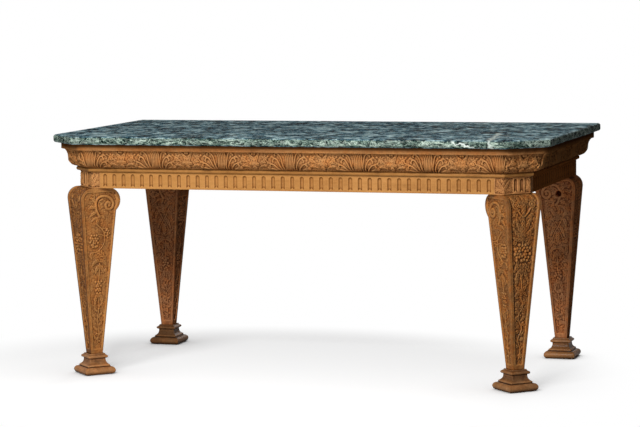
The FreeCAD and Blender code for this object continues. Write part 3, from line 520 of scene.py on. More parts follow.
def face_panel_mask(field, top):
    """The same for the outer or inner face, whose panel ends at a given unrolled height."""
    t, s = np.meshgrid(field.x, field.y)
    half = leg_half(np.minimum(s, LEG_TOP))
    edges = [half - FACE_BORDER - np.abs(t), s - LEG_FOOT - FOOT_BORDER, top - s]
    return smooth(0, PANEL_SLOPE, np.minimum.reduce(edges))


def sunk(field, mask, filling):
    """Sinks the ground of a carving below its border and fills it with small leaves of some height."""
    field.fill(mask, FILLING_SIZE, filling)
    field.stipple(GROUND_DENTS)
    relief = np.clip(GROUND - field.height, -PROUD, None)
    ripple = blur(rng.normal(0, 1, field.height.shape), 4)
    field.height = -mask * relief - GROUND_RIPPLE * np.clip(ripple, 0, None)
    field.lift = GROUND_LIFT * GROUND * mask
    return field


def side_carving(variant):
    """Side of a leg: the inward scroll with leaves, a vine or crossed stems, and grapes below."""
    field = Carving((-SIDE_REACH, LEG_FOOT), (FACE_REACH, LEG_TOP))
    hook = [(-9, 568), (-1, 581), (6, 600), (6, 622), (-5, 638), (-27, 642), (-47, 634), (-58, 618),
            (-57, 602), (-46, 594), (-35, 598), (-31, 610), (-37, 619), (-46, 616)]
    field.ridge(hook, 4.6, 5.4, 6.2)
    field.boss((-44, 608), 6.5, 5.4)
    field.ridge([(-19, 631), (-7.5, 624), (-5, 609), (-11, 593)], 2.2, 3.2, 1.4)
    field.leaf([(-9, 570), (-1, 558), (2, 538)], 8, 4.6, 3)
    for tip, root, width in (((28, 637), (7, 621), 8), ((36, 598), (9, 602), 8), ((30, 568), (5, 584), 7),
                             ((24, 552), (-3, 565), 6), ((-30, 560), (-9, 570), 6)):
        arch = ((tip[0] + root[0]) / 2, (tip[1] + root[1]) / 2 + 4)
        field.leaf([root, arch, tip], width, 4.6, 3)
    if variant == "vine":
        field.ridge([(1, 540), (-19, 521), (-28, 496), (-22, 465), (0, 443), (16, 440)], 2.4, 3.8, 1.8)
        field.ridge([(-19, 524), (-34, 526)], 2.0, 3.4, 0.8)
        field.ridge([(-26, 500), (-8, 505), (10, 500)], 2.0, 3.4, 0.8)
        field.grapes((12.5, 479), 34, 44, 4.9, 5.4)
        field.grapes((-38, 508), 24, 34, 4.6, 5.4)
        field.leaf([(0, 443), (-14, 436), (-32, 415)], 12, 4.4, 3)
        field.leaf([(16, 440), (24, 430), (20, 416)], 8, 4.2, 3)
    else:
        for way in (1, -1):
            stem = [(way * x - 6, z) for x, z in ((24, 530), (10, 500), (-12, 462), (-22, 432))]
            field.ridge(stem, 2.4, 3.8, 1.8)
        field.leaves((((20, 520), (30, 505), (32, 486)), 8, 4.4, 3),
                     (((6, 492), (18, 474), (26, 450)), 8, 4.4, 3), middle=-6)
        field.leaf([(-6, 470), (-6, 448), (-6, 424)], 10, 4.4, 4)
    for way in (1, -1):
        field.leaf([(-9, 410), (way * 14 - 9, 408), (way * 27 - 8, 392)], 9, 4.6, 4)
        field.scroll((way * 23 - 8, 374), 6.5, 1.2, 90, -way, 2.0, 4.0)
    field.leaves((((0, 394), (8, 384), (17, 364)), 8, 4.6, 3), middle=-9)
    field.ridge([(-9, 400), (-8, 360), (-6, 336)], 2.4, 4.0, 2.0)
    field.grapes((-6, 313), 30, 42, 4.8, 5.4)
    field.leaves((((0, 288), (11, 274), (13, 250)), 8, 4.4, 3), middle=-6)
    field.ridge([(-6, 290), (-8, 240), (-2, 200), (-6, 160), (-4, 112)], 2.0, 3.6, 1.6)
    field.climbing(range(244, 120, -17), ((0, 0), (9, 4), (15, 14)), 5, 4.0, 2, middle=-5)
    for level in (236, 205, 146, 118):
        field.boss((-5 + 5 * math.sin(level), level), 3.4, 4.4)
    return field


def outer_carving():
    """Outer face: paired scrolls and a leaf over the shoulder, a spray, grapes, leaves and a wavy stem."""
    field = Carving((-FACE_REACH, LEG_FOOT), (FACE_REACH, SHOULDER_LEVEL + SHOULDER_TURN + 2))
    for way in (1, -1):
        lead = [(way * 3, 598), (way * 17, 612)]
        field.scroll((way * 31, 640), 14, 1.6, -90 - way * 20, way, 3.2, 4.8, lead)
        field.scroll((way * 35, 440), 7, 1.2, 180, way, 2.2, 4.2)
        field.boss((way * 9, 356), 3.5, 4.4)
    field.leaves((((10, 644), (15, 660), (22, 684)), 8, 4.4, 3),
                 (((38, 660), (42, 672), (34, 688)), 7, 4.2, 2),
                 (((20, 596), (34, 604), (46, 598)), 7, 4.2, 2),
                 (((0, 540), (17, 566), (29, 596)), 10, 4.8, 4),
                 (((0, 530), (20, 540), (40, 562)), 9, 4.8, 3),
                 (((0, 520), (18, 520), (39, 529)), 8, 4.6, 3),
                 (((0, 432), (16, 428), (33, 408)), 10, 4.6, 3),
                 (((0, 420), (12, 408), (25, 382)), 9, 4.6, 3),
                 (((0, 345), (12, 352), (24, 366)), 8, 4.8, 3),
                 (((0, 342), (14, 336), (25, 326)), 7, 4.6, 3))
    field.leaves((((0, 604), (0, 636), (0, 676)), 11, 4.8, 4),
                 (((0, 516), (0, 560), (0, 602)), 13, 5.0, 5),
                 (((0, 432), (0, 412), (0, 380)), 9, 4.8, 3),
                 (((0, 350), (0, 338), (0, 318)), 9, 4.8, 3), ways=(1,))
    field.grapes((0, 472), 66, 60, 6.0, 5.8)
    field.ridge([(0, 505), (0, 522)], 3.0, 4.6, 3.0)
    field.ridge([(0, 380), (2, 362), (0, 346)], 2.2, 4.0, 2.2)
    field.ridge([(0, 322), (9, 292), (-8, 255), (7, 215), (-6, 178), (4, 142), (0, 110)], 2.2, 3.8, 1.8)
    levels = range(300, 126, -25)
    field.climbing(levels, ((3, 0), (13, 4), (21, -9)), 7, 4.4, 3)
    field.climbing(levels, ((-2, -9), (-10, -3), (-17, 6)), 5, 4.0, 2)
    for spot in ((12, 236), (16, 228), (9, 226), (-12, 256), (-16, 248), (11, 178), (-9, 152)):
        field.boss(spot, 3.6, 4.6)
    return field


def inner_carving():
    """Inner face: a wavy vine with two bunches of grapes and alternate leaves."""
    field = Carving((-FACE_REACH, LEG_FOOT), (FACE_REACH, LEG_TOP + 60))
    field.grapes((0, 490), 62, 58, 6.0, 5.7)
    field.grapes((0, 330), 34, 44, 5.0, 5.4)
    field.ridge([(0, 566), (14, 545), (0, 520)], 2.6, 4.2, 2.2)
    field.ridge([(0, 458), (-16, 430), (12, 396), (0, 356)], 2.4, 4.0, 2.0)
    field.ridge([(0, 306), (10, 270), (-8, 230), (7, 190), (-5, 150), (0, 112)], 2.2, 3.8, 1.8)
    field.leaves((((0, 540), (20, 548), (40, 558)), 9, 4.6, 3),
                 (((0, 532), (22, 524), (40, 512)), 8, 4.6, 3),
                 (((0, 446), (20, 436), (34, 414)), 9, 4.6, 3),
                 (((0, 400), (16, 392), (26, 372)), 8, 4.4, 3))
    field.climbing(range(286, 126, -22), ((3, 0), (12, 4), (19, -8)), 6, 4.2, 3)
    return field


def drilled(field):
    """Copy of a side carving with the old round hole bored into it."""
    copy = Carving(field.low, (field.x[-1], field.y[-1]))
    x, y = np.meshgrid(copy.x, copy.y)
    gap = np.hypot(x, y - (LEG_TOP - HOLE_DROP))
    bore = smooth(HOLE_RADIUS + HOLE_RIM, HOLE_RADIUS - HOLE_RIM, gap)
    copy.height = field.height * (1 - bore) - HOLE_DEPTH * bore
    copy.lift = field.lift
    return copy


def leg_mesh(near, outer_face, far, inner_face):
    """Mesh in (r, t, z) of a leg carved on its four sides."""
    inner, outer = leg_paths()
    strips = []

    def side(field, start, end, way):
        length = np.linalg.norm(end - start, axis=1)
        place, sink = columns(length, SIDE_COLUMNS)
        at = start[:, None] + (end - start)[:, None] * (place / length[:, None])[..., None]
        r, z = at[..., 0], at[..., 1]
        depth = sink - field.sample(field.height, r, z)
        half = leg_half(np.minimum(z, LEG_TOP))
        strips.append((joined(r, way * (half - depth), z), field.sample(field.hollows(), r, z)))

    def face(field, path, normal, run, way):
        half = leg_half(np.minimum(path[:, 1], LEG_TOP))
        place, sink = columns(2 * half, FACE_COLUMNS)
        t = way * (place - half[:, None])
        s = np.broadcast_to(run[:, None], t.shape)
        depth = sink - field.sample(field.height, t, s)
        at = path[:, None] - normal[:, None] * depth[..., None]
        strips.append((joined(at[..., 0], t, at[..., 1]), field.sample(field.hollows(), t, s)))

    side(near, inner[0], outer[0], -1)
    face(outer_face, *outer, 1)
    side(far, outer[0], inner[0], 1)
    face(inner_face, *inner, -1)
    points, hollow = (np.concatenate(parts, 1) for parts in zip(*strips))
    return points.reshape(-1, 3), tube_faces(*points.shape[:2]), hollow


def carved_legs(materials):
    """The four legs: front ones turned to the corners, back ones square, the left pair mirrored."""
    outer = outer_carving()
    outer = sunk(outer, face_panel_mask(outer, OUTER_PANEL_TOP), FILLING["outer"])
    inner = inner_carving()
    inner = sunk(inner, face_panel_mask(inner, INNER_PANEL_TOP), FILLING["inner"])
    sides = {variant: side_carving(variant) for variant in ("vine", "crossed")}
    vine, crossed = (sunk(field, side_panel_mask(field), FILLING[variant])
                     for variant, field in sides.items())
    hole = drilled(crossed)
    for end, turn, far in (("front", -45, vine), ("back", 0, crossed)):
        for hand, way in HANDS:
            name = f"{end}_{hand}_leg"
            near = hole if name == "back_right_leg" else far
            # Dirt and painted shade on this leg's sides, outer and inner face
            near.soil_and_shade, outer.soil_and_shade, inner.soil_and_shade = LEGS[f"{end}_{hand}"][2]
            mesh = placed(leg_mesh(near, outer, far, inner), centre_of(f"{end}_{hand}_foot"), turn, way)
            piece(name, "carved", mesh, materials[name])


# Feet

FOOT_EDGE = 2.2
TORUS_HALF = 58.5
TORUS_RADIUS = 13.5
FILLET_HALF = 43.0
FILLET_TOP = 33.0
NECK_HALF = 30.5
NECK_BOTTOM = 51.0
CAVETTO_RADIUS = 20.0
LIP_BOTTOM = 58.0
LIP_TOP = 66.5
LIP_HALF = 36.0
LIP_RADIUS = 5.0
STEP_HALF = 29.5
WEAR = 0.35
HOLLOW_ROWS = 4


def foot_profile():
    """Section of a foot from the ground up: torus, fillet, cavetto, neck, lip and a step to the leg."""
    torus_side = TORUS_HALF - TORUS_RADIUS
    top = LEG_FOOT - LEG_STAND
    run = np.vstack([arc((torus_side, 0), (torus_side, 2 * TORUS_RADIUS), TORUS_RADIUS + 0.01, 1, 25),
                     [(FILLET_HALF, 2 * TORUS_RADIUS)],
                     arc((FILLET_HALF, FILLET_TOP), (NECK_HALF, NECK_BOTTOM), CAVETTO_RADIUS, -1, 13),
                     [(NECK_HALF, LIP_BOTTOM - 1)],
                     arc((LIP_HALF - 2, LIP_BOTTOM), (LIP_HALF, LIP_TOP), LIP_RADIUS, 1, 11),
                     [(STEP_HALF, top - 3), (STEP_HALF, top), (LEG_BOTTOM_HALF - 2, top)]])
    rows = [run[:1]]
    for start, end in zip(run, run[1:]):
        count = max(int(np.linalg.norm(end - start) / STROKE_STEP), 1)
        rows.append(start + (end - start) * (np.arange(1, count + 1) / count)[:, None])
    return np.vstack(rows)


def square_ring(half):
    """Ring of points on a square with worn corners, from its half widths; sides carry a few points each."""
    turns = np.radians(np.linspace(0, 90, 5))
    side = np.array([-0.9, -0.6, -0.3, 0.0, 0.3, 0.6, 0.9])
    core = half[:, None] - FOOT_EDGE
    quarter = np.concatenate([joined(half[:, None] + 0 * side, core * side),
                              core[..., None] + FOOT_EDGE * joined(np.cos(turns), np.sin(turns))], 1)
    sides = []
    for _ in range(4):
        sides.append(quarter)
        quarter = joined(-quarter[..., 1], quarter[..., 0])
    return np.concatenate(sides, 1)


def moulded_feet(materials):
    """Feet with a thin lip under the leg, turned with their legs."""
    half, level = foot_profile().T
    ring = square_ring(half)
    x, y = ring[..., 0], ring[..., 1]
    wobble = WEAR * np.sin(0.31 * x + 0.17 * level[:, None]) * np.sin(0.23 * y)
    points = joined(x, y, np.clip(level[:, None] + wobble, 0, None)).reshape(-1, 3)
    # How far each row of the section lies in a hollow; the wood darkens those rows as dirt and painted shade
    window = 2 * HOLLOW_ROWS + 1
    mean = np.convolve(np.pad(half, HOLLOW_ROWS, mode="edge"), np.ones(window) / window, mode="valid")
    hollow = np.clip(0.5 * (mean - half), -1, 1)
    mesh = points, tube_faces(*x.shape), np.broadcast_to(hollow[:, None], x.shape)
    for name, material in materials.items():
        turn = 45 if name.startswith("front") else 0
        piece(name, "moulded", placed(mesh, centre_of(name), turn), material)


# Cornice

CYMA_FOOT = 12.0
CYMA_WAIST = 45.0
CYMA_WAIST_RISE = 34.0
CYMA_POINTS = 22
FILLET_HEIGHT = 22.0
FILLET_QUIRK = 4.0
FILLET_EDGE = 1.2
SHEAF_REPEAT = 2 * (FRAME_END - CANT) / 6.07
END_REPEATS = 3
CORNICE_RELIEF = 5.5
CORNICE_DENTS = 0.4
CORNICE_GRID = 0.8
CORNICE_PITCH = 1.3
CANT_SQUEEZE = 0.9
CORNER_ROUND = 12.0

# Stems of the fronds beside each sheaf: places along the cornice and shares of its height
FRONDS = (((17, 0.04), (20, 0.4), (27, 0.74), (38, 0.92), (48, 0.83)),
          ((25, 0.04), (29, 0.33), (38, 0.6), (49, 0.69), (57, 0.59)),
          ((34, 0.04), (40, 0.22), (50, 0.4), (61, 0.46), (68, 0.36)),
          ((45, 0.04), (53, 0.14), (64, 0.22), (76, 0.2)))


def cyma_points():
    """The carved part of the cornice section, from its foot to the lip under the fillet."""
    waist = (CYMA_WAIST, CYMA_BOTTOM + CYMA_WAIST_RISE)
    lip = (PROJECTION - FILLET_QUIRK, FRAME_TOP - FILLET_HEIGHT)
    swell, hollow = CYMA_WAIST - CYMA_FOOT, lip[0] - CYMA_WAIST
    rise = lip[1] - waist[1]
    swell_radius = (swell ** 2 + CYMA_WAIST_RISE ** 2) / (2 * swell)
    hollow_radius = (hollow ** 2 + rise ** 2) / (2 * hollow)
    lower = arc((CYMA_FOOT, CYMA_BOTTOM), waist, swell_radius, 1, CYMA_POINTS)
    upper = arc(waist, lip, hollow_radius, -1, CYMA_POINTS)
    return np.vstack([lower, upper[1:]])


def cornice_carving(height):
    """One repeat of the cornice ornament: a sheaf, fronds that curl away from it and leafy scrolls."""
    half = SHEAF_REPEAT / 2
    field = Carving((-half, 0), (half, height), CORNICE_GRID)
    level = np.linspace(0.03, 0.97, 6)
    for stalk in range(-2, 3):
        sway = stalk * (5.0 + 2.4 * level ** 2) + 5.5 * np.sin(math.pi * (level - 0.2))
        field.ridge(joined(sway, level * height), 2.5, 5.0, 2.9)
    for way in (1, -1):
        for stem in FRONDS:
            path = [(way * p, q * height) for p, q in stem]
            field.ridge(path, 2.9, 5.2, 2.6)
            (p, q), tip = path[-2:]
            field.boss((tip[0] - way * 2, tip[1] - 3), 3.8, 5.0)
            field.leaf([(p, q), (p + way * 9, q + 4), (p + way * 17, q - 1)], 5, 4.6, 2)
        field.scroll((way * 85, 0.6 * height), 9, 1.3, 200, -way, 2.5, 5.0)
        field.scroll((way * (half - 13), 0.46 * height), 6.5, 1.2, -60, way, 2.3, 5.0)
        for place, share, radius in ((72, 0.76, 3.6), (74, 0.55, 3.2), (half - 4, 0.86, 4.2)):
            field.boss((way * place, share * height), radius, 4.8)
    for tip, share in ((98, 0.78), (101, 0.5), (84, 0.84), (74, 0.72)):
        midrib = ((85, 0.6), ((85 + tip) / 2, 0.3 + share / 2 + 0.04), (tip, share))
        field.leaves((midrib, 4.5, 4.8, 2), rise=height)
    field.leaves((((78, 0.34), (92, 0.36), (108, 0.24)), 6, 4.8, 3),
                 (((58, 0.95), (76, 0.95), (96, 0.92)), 5, 5.0, 3),
                 (((78, 0.08), (94, 0.08), (112, 0.12)), 6, 5.0, 3),
                 (((half, 0.42), (half - 9, 0.7), (half - 22, 0.93)), 7.5, 5.0, 3),
                 (((half, 0.05), (half, 0.35), (half, 0.7)), 9, 5.0, 3), rise=height)
    field.stipple(CORNICE_DENTS)
    field.height = np.minimum(field.height - CORNICE_RELIEF, 0.0)
    return field


def carved_cornices(material):
    """Cornice round the front, cants and ends, carved on its cyma below a plain fillet."""
    cyma = cyma_points()
    base = FRAME_TOP - FILLET_HEIGHT
    face = [(PROJECTION, level) for level in (base, base + FILLET_EDGE, FRAME_TOP - FILLET_EDGE)]
    fillet = np.array([*face, (PROJECTION - FILLET_EDGE, FRAME_TOP), (0, FRAME_TOP), (0, CYMA_BOTTOM)])
    profile = np.vstack([cyma, fillet])
    normals = np.vstack([section_normals(cyma), np.zeros_like(fillet)])
    run = lengths_along(cyma)
    field = cornice_carving(run[-1])
    taper = smooth(0, 3, run) * smooth(0, 3, run[-1] - run)
    half = SHEAF_REPEAT / 2
    end_length = FRAME_BACK - (FRAME_FRONT + CANT)

    def along_front(x):
        return (x + half) % SHEAF_REPEAT - half

    def along_cant(x):
        return np.sign(x) * np.clip(half - CANT_SQUEEZE * np.abs(x), 0, half)

    def along_end(x):
        share = (x + end_length / 2) / (end_length / END_REPEATS)
        return ((share + 0.5) % 1.0 - 0.5) * SHEAF_REPEAT

    def swept(length, far_mitre, place):
        carving = field, run, place, taper, 1.0
        return run_mesh(profile, normals, length, (MITRE, far_mitre), carving, CORNICE_PITCH)

    front = placed(swept(2 * (FRAME_END - CANT), MITRE, along_front), (0, FRAME_FRONT), 0)
    piece("front_cornice", "carved", front, material)
    twins("{}_cant_cornice", "carved", swept(CANT_LENGTH, MITRE, along_cant),
          (FRAME_END - CANT / 2, FRAME_FRONT + CANT / 2), 45, material)
    twins("{}_end_cornice", "carved", swept(end_length, 0, along_end),
          (FRAME_END, (FRAME_FRONT + CANT + FRAME_BACK) / 2), 90, material)


# Apron

RAIL_THICKNESS = 32.0
FLUTE_PITCH = 34.9
FLUTE_WIDTH = 15.0
FLUTE_DEPTH = 5.5
FLUTE_TOP_GAP = 7.0
FLUTE_SILL = 4.0
FLUTE_DART = 6.0
CANT_FLUTES = (47.5, 72.5)
POST_RETURN = FRAME_END - CANT - RAIL_END
POST_WIDTH = 2 * POST_RETURN + CANT_LENGTH
POST_GROUND = 3.2
POST_BORDER = 3.0
POST_DENTS = 0.3
POST_GRID = 0.7
FLUTE_MARGIN = 2.5
FLUTE_GRID = 0.6
APRON_PITCH = 1.2


def flute_depth(x, z):
    """Depth of a gouged flute about its middle: hollow, arched above, with a pointed stop below."""
    half = FLUTE_WIDTH / 2
    head = APRON_TOP - FLUTE_TOP_GAP - half
    across = np.hypot(x, np.clip(z - head, 0, None)) / half
    hollow = np.clip(1 - across ** 4, 0, 1) ** 0.5
    stop = FRAME_BOTTOM + FLUTE_SILL + FLUTE_DART * np.clip(1 - np.abs(x) / half, 0, 1)
    return FLUTE_DEPTH * hollow * smooth(-0.5, 4.5, z - stop)


def post_carving():
    """Front post, unrolled from the front return over the cant to the end return."""
    low, high = FRAME_BOTTOM, APRON_TOP
    field = Carving((0, low), (POST_WIDTH, high), POST_GRID)
    corner, far_corner = POST_RETURN, POST_RETURN + CANT_LENGTH
    for foot, way in ((corner, -1), (corner, 1), (far_corner, 1), (far_corner, -0.45)):
        field.leaves((((0, low + 4), (8, low + 24), (22, low + 44)), 8, 3.2, 4),
                     (((0, low + 6), (16, low + 14), (29, low + 26)), 6, 3.0, 3),
                     (((0, low + 30), (5, low + 42), (10, high - 3)), 5, 3.0, 2), middle=foot, ways=(way,))
        field.scroll((foot + way * 26, low + 14), 5.5, 1.2, 90, -1 if way > 0 else 1, 1.8, 3.0)
        field.boss((foot + way * 14, high - 8), 3.2, 3.0)
    s, z = np.meshgrid(field.x, field.y)
    first, last = (corner + place for place in CANT_FLUTES)
    edge = FLUTE_WIDTH / 2 + FLUTE_MARGIN
    front_leaves = np.minimum(s - POST_BORDER, first - edge - s)
    end_leaves = np.minimum(s - last - edge, POST_WIDTH - POST_BORDER - s)
    carved = smooth(0, 2, np.maximum(front_leaves, end_leaves))
    carved = carved * smooth(0, 2, z - low - 2) * smooth(0, 2, high - 2 - z)
    field.stipple(POST_DENTS)
    flutes = np.maximum(flute_depth(s - first, z), flute_depth(s - last, z))
    field.height = -carved * np.clip(POST_GROUND - field.height, 0, None) - flutes
    return field


def apron_levels():
    """Heights of the rows of apron pieces: close over the carved face, then up to the frame's top."""
    close = np.arange(FRAME_BOTTOM + APRON_PITCH, APRON_TOP, APRON_PITCH)
    return np.concatenate([close, [APRON_TOP, FRAME_TOP]])


def fluted_run(length):
    """Rail of some length with a row of flutes on its face."""
    levels = apron_levels()
    back = np.array([(-RAIL_THICKNESS, FRAME_TOP), (-RAIL_THICKNESS, FRAME_BOTTOM), (-0.9, FRAME_BOTTOM),
                     (-0.25, FRAME_BOTTOM + 0.3)])
    profile = np.vstack([joined(np.zeros_like(levels), levels), back])
    normals = np.zeros_like(profile)
    normals[:len(levels), 0] = 1
    field = Carving((-FLUTE_PITCH / 2, FRAME_BOTTOM), (FLUTE_PITCH / 2, APRON_TOP), FLUTE_GRID)
    field.height = -flute_depth(*np.meshgrid(field.x, field.y))
    shown = levels < APRON_TOP

    def place(x):
        return (x / FLUTE_PITCH + 0.5) % 1.0 * FLUTE_PITCH - FLUTE_PITCH / 2

    return run_mesh(profile, normals, length, (0, 0), (field, levels, place, shown, shown), APRON_PITCH)


def post_mesh():
    """Right front post, carved on its cant and the returns beside it."""
    field = post_carving()
    s = np.linspace(0, POST_WIDTH, int(POST_WIDTH / APRON_PITCH) + 1)
    on_cant, on_end = s - POST_RETURN, s - POST_RETURN - CANT_LENGTH
    along_cant = np.clip(on_cant, 0, CANT_LENGTH) * ROOT_HALF
    x = RAIL_END + np.minimum(s, POST_RETURN) + along_cant
    y = FRAME_FRONT + along_cant + np.clip(on_end, 0, None)
    turn = np.radians(45 * (smooth(-0.6, 0.6, on_cant) + smooth(-0.6, 0.6, on_end)))
    levels = np.concatenate([[FRAME_BOTTOM], apron_levels()])
    grid_s, grid_z = np.meshgrid(s, levels)
    depth, hollow = (np.where(grid_z < APRON_TOP, field.sample(values, grid_s, grid_z), 0.0)
                     for values in (field.height, field.hollows()))
    inner_x = np.tile([FRAME_END - POST_DEPTH, RAIL_END], (len(levels), 1))
    inner_y = np.tile([END_RAIL_FRONT, FRAME_FRONT + POST_DEPTH], (len(levels), 1))
    x = np.hstack([x + np.sin(turn) * depth, inner_x])
    y = np.hstack([y - np.cos(turn) * depth, inner_y])
    points = joined(x, y, np.repeat(levels[:, None], x.shape[1], 1)).reshape(-1, 3)
    return points, tube_faces(*x.shape), np.pad(hollow, ((0, 0), (0, 2)))


def apron(along, across, carved):
    """Fluted rails at the front and ends, between carved posts."""
    front = placed(fluted_run(2 * RAIL_END), (0, FRAME_FRONT), 0)
    piece("front_rail", "fluted", front, along)
    spot = (FRAME_END, (END_RAIL_FRONT + END_RAIL_BACK) / 2)
    twins("{}_end_rail", "fluted", fluted_run(END_RAIL_BACK - END_RAIL_FRONT), spot, 90, across)
    twins("front_{}_post", "carved", post_mesh(), (0, 0), 0, carved)


# Materials

def srgb(red, green, blue):
    """Colour given as 0 to 255 display values, as linear red, green, blue and alpha."""
    shares = np.array([red, green, blue]) / 255
    linear = np.where(shares <= 0.04045, shares / 12.92, ((shares + 0.055) / 1.055) ** 2.4)
    return (*linear.tolist(), 1.0)


def toned(colours, share):
    """Colours of a finish scaled to a share of their brightness; for the legs and feet this share is painted
    light.
    """
    return [(*(share * value for value in colour[:3]), 1.0) for colour in colours]


# Light, middle and dark tones of each wood, and the colour of dirt and painted shade in its recesses
HONEY = (srgb(214, 154, 90), srgb(194, 136, 74), srgb(166, 110, 56), srgb(84, 46, 18))
CARVED = (srgb(216, 156, 96), srgb(186, 128, 77), srgb(150, 99, 56), srgb(72, 37, 14))
LEG = (srgb(212, 151, 86), srgb(172, 115, 63), srgb(132, 82, 42), srgb(82, 43, 16))
BACK_LEG = (srgb(212, 148, 98), srgb(172, 112, 72), srgb(130, 79, 49), srgb(74, 40, 20))
# The ends' wood: a redder copy of the honey wood, made darker as painted shade for the ends out of the light
SHADED_END = (srgb(176, 110, 58), srgb(150, 90, 44), srgb(120, 68, 30), srgb(52, 26, 10))
FOOT = (srgb(200, 146, 96), srgb(158, 108, 66), srgb(108, 68, 40), srgb(44, 24, 12))
RUDDY = (1.14, 0.86, 0.58, 1.0)
GREYED = (0.84, 0.9, 1.04, 1.0)
WHITE = (1.0, 1.0, 1.0, 1.0)
# Each foot's share of painted light: its colours lighter or darker for how much light it gets
FOOT_PAINTED_LIGHT = {"front_left": 1.25, "front_right": 0.78, "back_left": 0.58, "back_right": 1.08}

# White veins of the slab, in metres: start, end and width on its top, start and end on its edge
VEINS = (((0.668, -0.08, 0), (0.703, -0.36, 0), 0.011), ((0.703, -0.36, 0), (0.728, -0.48, 0), 0.009),
         ((0.703, -0.36, 0), (0.745, -0.27, 0), 0.008))
EDGE_VEIN = ((0.59, 0, 0.857), (0.71, 0, 0.833))
EDGE_VEIN_WIDTH = 0.006
VEIN_COLOUR = srgb(226, 236, 228)
FINE_VEIN_COLOUR = srgb(214, 228, 216)


class Shader:
    """Nodes of a material or world; an input is set to a value or linked to another node's output."""

    def __init__(self, owner, output="OutputMaterial"):
        self.owner = owner
        owner.use_nodes = True
        self.tree = owner.node_tree
        self.tree.nodes.clear()
        self.output = self.node(output)

    def node(self, kind, inputs=None, **settings):
        node = self.tree.nodes.new("ShaderNode" + kind)
        for key, value in settings.items():
            setattr(node, key, value)
        for key, value in (inputs or {}).items():
            if isinstance(value, bpy.types.NodeSocket):
                self.tree.links.new(value, node.inputs[key])
            else:
                node.inputs[key].default_value = value
        return node

    def add(self, kind, inputs=None, out=0, **settings):
        return self.node(kind, inputs, **settings).outputs[out]

    def noise(self, vector, scale, detail=4.0, roughness=0.55, distortion=0.0):
        return self.add("TexNoise", {"Vector": vector, "Scale": scale, "Detail": detail,
                                     "Roughness": roughness, "Distortion": distortion})

    def mapped(self, vector, scale, rotation=(0, 0, 0), location=(0, 0, 0)):
        return self.add("Mapping", {"Vector": vector, "Scale": scale, "Rotation": rotation,
                                    "Location": location})

    def math(self, operation, first, second=0.0):
        return self.add("Math", {0: first, 1: second}, operation=operation)

    def fit(self, value, low, high, to_low=0.0, to_high=1.0, ease="LINEAR"):
        return self.add("MapRange", {"Value": value, "From Min": low, "From Max": high,
                                     "To Min": to_low, "To Max": to_high}, interpolation_type=ease)

    def total(self, *parts):
        """Sum of values, each times its weight."""
        value, weight = parts[0]
        whole = self.math("MULTIPLY", value, weight)
        for value, weight in parts[1:]:
            whole = self.math("ADD", whole, self.math("MULTIPLY", value, weight))
        return whole

    def creases(self, *noise):
        """Noise folded about its middle: 0 along thin winding lines."""
        return self.math("ABSOLUTE", self.math("SUBTRACT", self.noise(*noise), 0.5))

    def ramp(self, factor, *stops):
        node = self.node("ValToRGB", {"Fac": factor})
        elements = node.color_ramp.elements
        while len(elements) < len(stops):
            elements.new(0.5)
        for element, (position, colour) in zip(elements, stops):
            element.position = position
            element.color = colour
        return node.outputs[0]

    def mix(self, factor, first, second, blend="MIX"):
        return self.add("Mix", {0: factor, 6: first, 7: second}, 2, data_type="RGBA", blend_type=blend)

    def stroke(self, place, waver, start, end, plane, width):
        """Wavering line between two places, seen square to a plane: 1 on it and 0 beside it."""
        start, end = Vector(start), Vector(end)
        length = (end - start).length
        along = (end - start).normalized()
        across = along.cross(Vector(plane))
        run, gap = (self.math("SUBTRACT", self.add("VectorMath", {0: place, 1: axis}, "Value",
                                                   operation="DOT_PRODUCT"), start.dot(axis))
                    for axis in (along, across))
        line = self.fit(self.math("ABSOLUTE", self.math("ADD", gap, waver)), width, 0.3 * width)
        ends = self.math("MULTIPLY", self.fit(run, -0.01, 0.01), self.fit(run, length + 0.01, length - 0.01))
        return self.math("MULTIPLY", line, ends)

    def finish(self, surface):
        """Shows a surface, and gives back the material or world."""
        self.tree.links.new(surface, self.output.inputs["Surface"])
        return self.owner


